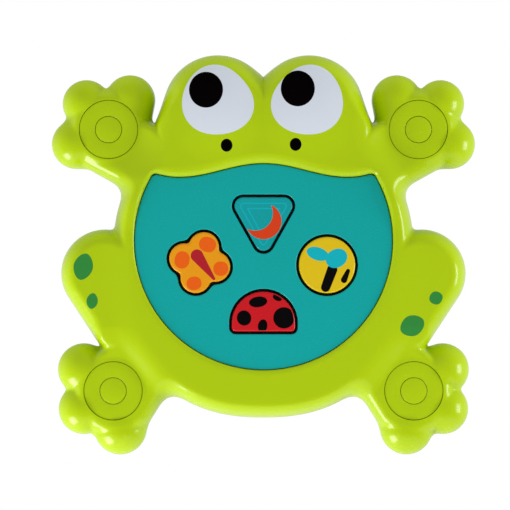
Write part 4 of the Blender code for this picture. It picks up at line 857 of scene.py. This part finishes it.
# Glossy ABS, injection moulded: an even colour, a soft sheen and a very faint waviness in the gloss
def mouldedPlastic(name, colour, roughness, deeper, bump=0.04, grainSize=0.0006):
    material, tree, shader = newMaterial(name, Roughness=roughness, IOR=1.53, Specular_IOR_Level=0.30)
    place = addNode(tree, "TexCoord").outputs["Object"]
    flow = addNode(tree, "TexNoise", {"Vector": place}, {"Scale": 14.0, "Detail": 2.0})
    tones = {6: hexColour(colour), 7: hexColour(deeper)}
    tone = addNode(tree, "Mix", {0: flow.outputs["Fac"]}, tones, data_type="RGBA")
    grain = addNode(tree, "TexNoise", {"Vector": place}, {"Scale": 1 / grainSize, "Detail": 3.0})
    height = grain.outputs["Fac"]
    rough = addNode(tree, "MapRange", {"Value": height},
                    {"To Min": roughness - 0.05, "To Max": roughness + 0.05})
    bumps = addNode(tree, "Bump", {"Height": height}, {"Strength": bump, "Distance": 0.0002})
    tree.links.new(tone.outputs[2], shader.inputs["Base Color"])
    tree.links.new(rough.outputs["Result"], shader.inputs["Roughness"])
    tree.links.new(bumps.outputs["Normal"], shader.inputs["Normal"])
    return material, tree, shader, tone.outputs[2]


def paintOver(tree, shader, under, printName, colour, edge=0.06):  # pad-printed ink, inside its outline
    shape = addNode(tree, "Attribute", attribute_name=printName)
    ink = addNode(tree, "MapRange", {"Value": shape.outputs["Fac"]},
                  {"From Min": edge, "From Max": -edge, "To Min": 0.0, "To Max": 1.0})
    layers = {0: ink.outputs["Result"], 6: under}
    mixed = addNode(tree, "Mix", layers, {7: hexColour(colour)}, data_type="RGBA")
    tree.links.new(mixed.outputs[2], shader.inputs["Base Color"])
    return mixed.outputs[2]


lime = ("#b0cc04", 0.22, "#aac605")
limeFront, tree, shader, colour = mouldedPlastic("Lime ABS, glossy moulded and pad printed", *lime)
for printName, ink in (("spots", "#32893b"), ("whites", "#d3dae4"), ("blacks", "#050102")):
    colour = paintOver(tree, shader, colour, printName, ink)
give([frontShell], limeFront)
limePlain = mouldedPlastic("Lime ABS, glossy moulded", *lime)[0]
give(rings + plugs + [ledgeBand], limePlain)
limeBack = mouldedPlastic("Lime ABS, fine spark-eroded texture", "#a9be0c", 0.42, "#a2b70e", 0.25, 0.0007)[0]
give([backCover], limeBack)
tealPanel = mouldedPlastic("Teal ABS, satin moulded", "#02a5a2", 0.26, "#02a29f")[0]
give([bellyPanel] + ears, tealPanel)


# Soft black thermoplastic rubber: matt, with a fine tooth that scatters the light
# Its black is partly painted shade, standing in for the dark of the narrow gaps round the shape pieces.
rubber, tree, shader = newMaterial(
    "Black TPR rubber, matt, black also as painted gap shade", Roughness=0.7, IOR=1.5, Base_Color=hexColour("#0d0d0f"))
place = addNode(tree, "TexCoord").outputs["Object"]
tooth = addNode(tree, "TexNoise", {"Vector": place}, {"Scale": 2500.0, "Detail": 2.0})
bumps = addNode(tree, "Bump", {"Height": tooth.outputs["Fac"]}, {"Strength": 0.2, "Distance": 0.0002})
tree.links.new(bumps.outputs["Normal"], shader.inputs["Normal"])
give([gripSheet] + collars, rubber)


# Clear soft PVC: bends light like water and blurs it a little
vinyl, tree, shader = newMaterial(
    "Clear PVC, soft moulded", Roughness=0.12, IOR=1.5, Base_Color=hexColour("#eef4f1"),
    Transmission_Weight=0.85)
place = addNode(tree, "TexCoord").outputs["Object"]
cloud = addNode(tree, "TexNoise", {"Vector": place}, {"Scale": 60.0, "Detail": 2.0})
haze = addNode(tree, "MapRange", {"Value": cloud.outputs["Fac"]}, {"To Min": 0.08, "To Max": 0.20})
tree.links.new(haze.outputs["Result"], shader.inputs["Roughness"])
give(cups, vinyl)


# Stainless steel, cold headed: a soft brushed glint
steel, tree, shader = newMaterial(
    "Stainless steel, cold headed", Metallic=1.0, Roughness=0.32, Base_Color=hexColour("#b4b4b8"))
place = addNode(tree, "TexCoord").outputs["Object"]
marks = addNode(tree, "TexNoise", {"Vector": place}, {"Scale": 900.0, "Detail": 3.0})
glint = addNode(tree, "MapRange", {"Value": marks.outputs["Fac"]}, {"To Min": 0.24, "To Max": 0.42})
tree.links.new(glint.outputs["Result"], shader.inputs["Roughness"])
give(newScrews + [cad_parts["left_hinge_pin"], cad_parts["right_hinge_pin"]], steel)


# Shape pieces: coloured ABS with pad-printed motifs, kept as signed distances
def pieceXZ(name):
    data = np.empty(len(fronts[name].data.vertices) * 3, np.float32)
    fronts[name].data.vertices.foreach_get("co", data)
    return data.reshape(-1, 3).astype(float)[:, [0, 2]].T


motifs = {
    "lines": (0.0062, 0.0098), "lineWidth": 0.0008,  # depths inside the outline
    "moon": (0.0000, 0.0270, 0.0125), "bite": (-0.0056, 0.0326, 0.0122),  # x, z and radius
    "petals": ((-0.0389, 0.0108, 0.0060, 0.0052, -20), (-0.0566, 0.0001, 0.0052, 0.0060, -10),
               (-0.0297, -0.0060, 0.0052, 0.0050, 0), (-0.0483, -0.0162, 0.0052, 0.0047, 10)),
    "petalPower": 2.2, "drop": ((-0.0462, 0.0030, 0.0044), (-0.0345, -0.0130, 0.0010)),
    "wings": ((0.0377, 0.0043, 0.0080, 0.0045, -18), (0.0508, 0.0012, 0.0078, 0.0064, 30)),
    "stripes": (((0.0478, -0.0066, 0.0036), (0.0432, -0.0190, 0.0032)),
                ((0.0588, -0.0075, 0.0014), (0.0560, -0.0138, 0.0022))),
    "dots": ((-0.0135, -0.0403, 0.0050, 0.0053, 15), (-0.0037, -0.0291, 0.0064, 0.0037, 8),
             (0.0096, -0.0262, 0.0034, 0.0021, -25), (-0.0006, -0.0458, 0.0033, 0.0046, -10),
             (0.0142, -0.0402, 0.0074, 0.0074, 0)),
    "margin": 0.0026,
}
x, z = pieceXZ("triangle")
inBy = -triangleField(x, z)
lines = np.min([np.abs(inBy - depth) for depth in motifs["lines"]], axis=0) - motifs["lineWidth"] / 2
addPrint(fronts["triangle"], "lines", np.where(inBy > 0, lines, 1))
moon = np.maximum(disc(x, z, *motifs["moon"]), -disc(x, z, *motifs["bite"]))
addPrint(fronts["triangle"], "moon", moon)
x, z = pieceXZ("flower")
addPrint(fronts["flower"], "petals", leaves(x, z, motifs["petals"], motifs["petalPower"]))
addPrint(fronts["flower"], "drop", bar(x, z, *motifs["drop"]))
x, z = pieceXZ("round")
stripes = np.min([bar(x, z, *stripe) for stripe in motifs["stripes"]], axis=0)
addPrint(fronts["round"], "wings", leaves(x, z, motifs["wings"]))
addPrint(fronts["round"], "stripes", np.maximum(stripes, roundField(x, z) + motifs["margin"]))
x, z = pieceXZ("dome")
addPrint(fronts["dome"], "dots", np.maximum(leaves(x, z, motifs["dots"]), domeField(x, z) + motifs["margin"]))
prints = {
    "triangle": ("#069fa1", "#069a9d", (("lines", "#02aebb"), ("moon", "#d63e11"))),
    "flower": ("#ea9b09", "#e5970a", (("petals", "#ea6008"), ("drop", "#b01c28"))),
    "round": ("#e0c00e", "#dcbb0e", (("stripes", "#0d0c0c"), ("wings", "#04b0bd"))),
    "dome": ("#cc141e", "#c5131d", (("dots", "#0b0708"),)),
}
for name, (base, deeper, inks) in prints.items():
    label = name.capitalize() + " piece ABS, "
    material, tree, shader, colour = mouldedPlastic(label + "pad printed", base, 0.26, deeper)
    for printName, ink in inks:
        colour = paintOver(tree, shader, colour, printName, ink)
    give([fronts[name]], material)
    give([bases[name]], mouldedPlastic(label + "plain", base, 0.32, deeper)[0])
print("materials:", len(bpy.data.materials))


# Floor: pale, a metre below the hanging toy. Seen directly or by reflection it is nearly white, with a
# little of the lit floor's own shade.
floorZ, floorEdge = -1.0, 1.2
floorData = bpy.data.meshes.new("floor")
corners = [(x * floorEdge, y * floorEdge, floorZ) for x, y in ((-1, -1), (1, -1), (1, 1), (-1, 1))]
floorData.from_pydata(corners, [], [(0, 1, 2, 3)])
floor = bpy.data.objects.new("floor", floorData)
bpy.context.collection.objects.link(floor)
paleFloor, tree, shader = newMaterial("Pale studio floor", Roughness=0.8, Base_Color=(0.86, 0.86, 0.86, 1))


def seenShare(tree, share):  # a share for camera, mirror and glass rays, 0 for the rest, and the ray kinds
    rays = addNode(tree, "LightPath").outputs
    direct = addNode(tree, "Math", {0: rays["Is Camera Ray"], 1: rays["Is Transmission Ray"]},
                     operation="MAXIMUM")
    seen = addNode(tree, "Math", {0: direct.outputs["Value"], 1: rays["Is Glossy Ray"]}, operation="MAXIMUM")
    part = addNode(tree, "Math", {0: seen.outputs["Value"]}, {1: share}, operation="MULTIPLY")
    return part.outputs["Value"], rays


share, _ = seenShare(tree, 0.95)
glow = addNode(tree, "Emission", values={"Color": (1, 1, 1, 1), "Strength": 1.0})
both = addNode(tree, "MixShader", {0: share, 1: shader.outputs["BSDF"], 2: glow.outputs["Emission"]})
tree.links.new(both.outputs["Shader"], tree.nodes["Material Output"].inputs["Surface"])
give([floor], paleFloor)


# World: white to the camera and through glass, and soft pale light on the toy. In reflections it is the
# white studio too, with the dark room behind the camera in front of the toy.
studio = {  # fades over a ray's direction: its axis, where the fade starts and ends, and its two values
    "room": ("Y", -0.40, 0.08, 0.02, 0.75),  # in reflections, from the dark behind the camera to white
    "above": ("Z", -0.10, 0.70, 1.00, 0.35),  # in reflections, dimmer overhead
    "wrap": ("Y", -0.60, 0.40, 0.595, 0.85),  # light on the toy from the front and from behind
    "ceiling": ("Z", 0.00, 0.90, 0.00, 0.27),
    "leftWall": ("X", -0.90, 0.00, 0.24, 0.00),
}
world = bpy.data.worlds.new("studio")
bpy.context.scene.world = world
world.use_nodes = True
world.cycles.sampling_method = "NONE"  # so that gloss meets the world by its own rays, and sees the dark room
tree = world.node_tree
tree.nodes.clear()
direction = addNode(tree, "TexCoord")
axes = addNode(tree, "SeparateXYZ", {"Vector": direction.outputs["Generated"]})
light = {}
for name, (axis, start, end, low, high) in studio.items():
    spread = {"From Min": start, "From Max": end, "To Min": low, "To Max": high}
    node = addNode(tree, "MapRange", {"Value": axes.outputs[axis]}, spread, interpolation_type="SMOOTHSTEP")
    light[name] = node.outputs["Result"]
seen, rays = seenShare(tree, 1.0)
glossy = addNode(tree, "Math", {0: light["room"], 1: light["above"]}, operation="MULTIPLY")
mirror = addNode(tree, "Mix", {0: rays["Is Glossy Ray"], 3: glossy.outputs["Value"]}, {2: 1.0},
                 data_type="FLOAT")
walls = addNode(tree, "Math", {0: light["ceiling"], 1: light["leftWall"]}, operation="ADD")
soft = addNode(tree, "Math", {0: light["wrap"], 1: walls.outputs["Value"]}, operation="ADD")
strength = addNode(tree, "Mix", {0: seen, 2: soft.outputs["Value"], 3: mirror.outputs[0]}, data_type="FLOAT")
sky = addNode(tree, "Background", {"Strength": strength.outputs[0]}, {"Color": (1, 1, 1, 1)})
addNode(tree, "OutputWorld", {"Surface": sky.outputs["Background"]})

lamps = {  # place, width, height and power in watts: soft boxes round a toy of 0.3 m
    "lowLeftBox": ((-0.76, -0.22, -0.88), 0.56, 0.56, 12.0),
    "rightBox": ((1.36, -0.32, -0.05), 0.50, 0.70, 10.0),
}
for name, (spot, width, height, power) in lamps.items():
    lampData = bpy.data.lights.new(name, "AREA")
    lampData.shape = "RECTANGLE"
    lampData.energy = power
    lampData.size, lampData.size_y = width, height
    lamp = bpy.data.objects.new(name, lampData)
    lamp.location = spot
    tilt = math.atan2(math.hypot(spot[0], spot[1]), spot[2])
    lamp.rotation_euler = (tilt, 0, math.atan2(spot[0], -spot[1]))
    bpy.context.collection.objects.link(lamp)

bpy.context.scene.view_settings.view_transform = "Standard"
print("scene built")
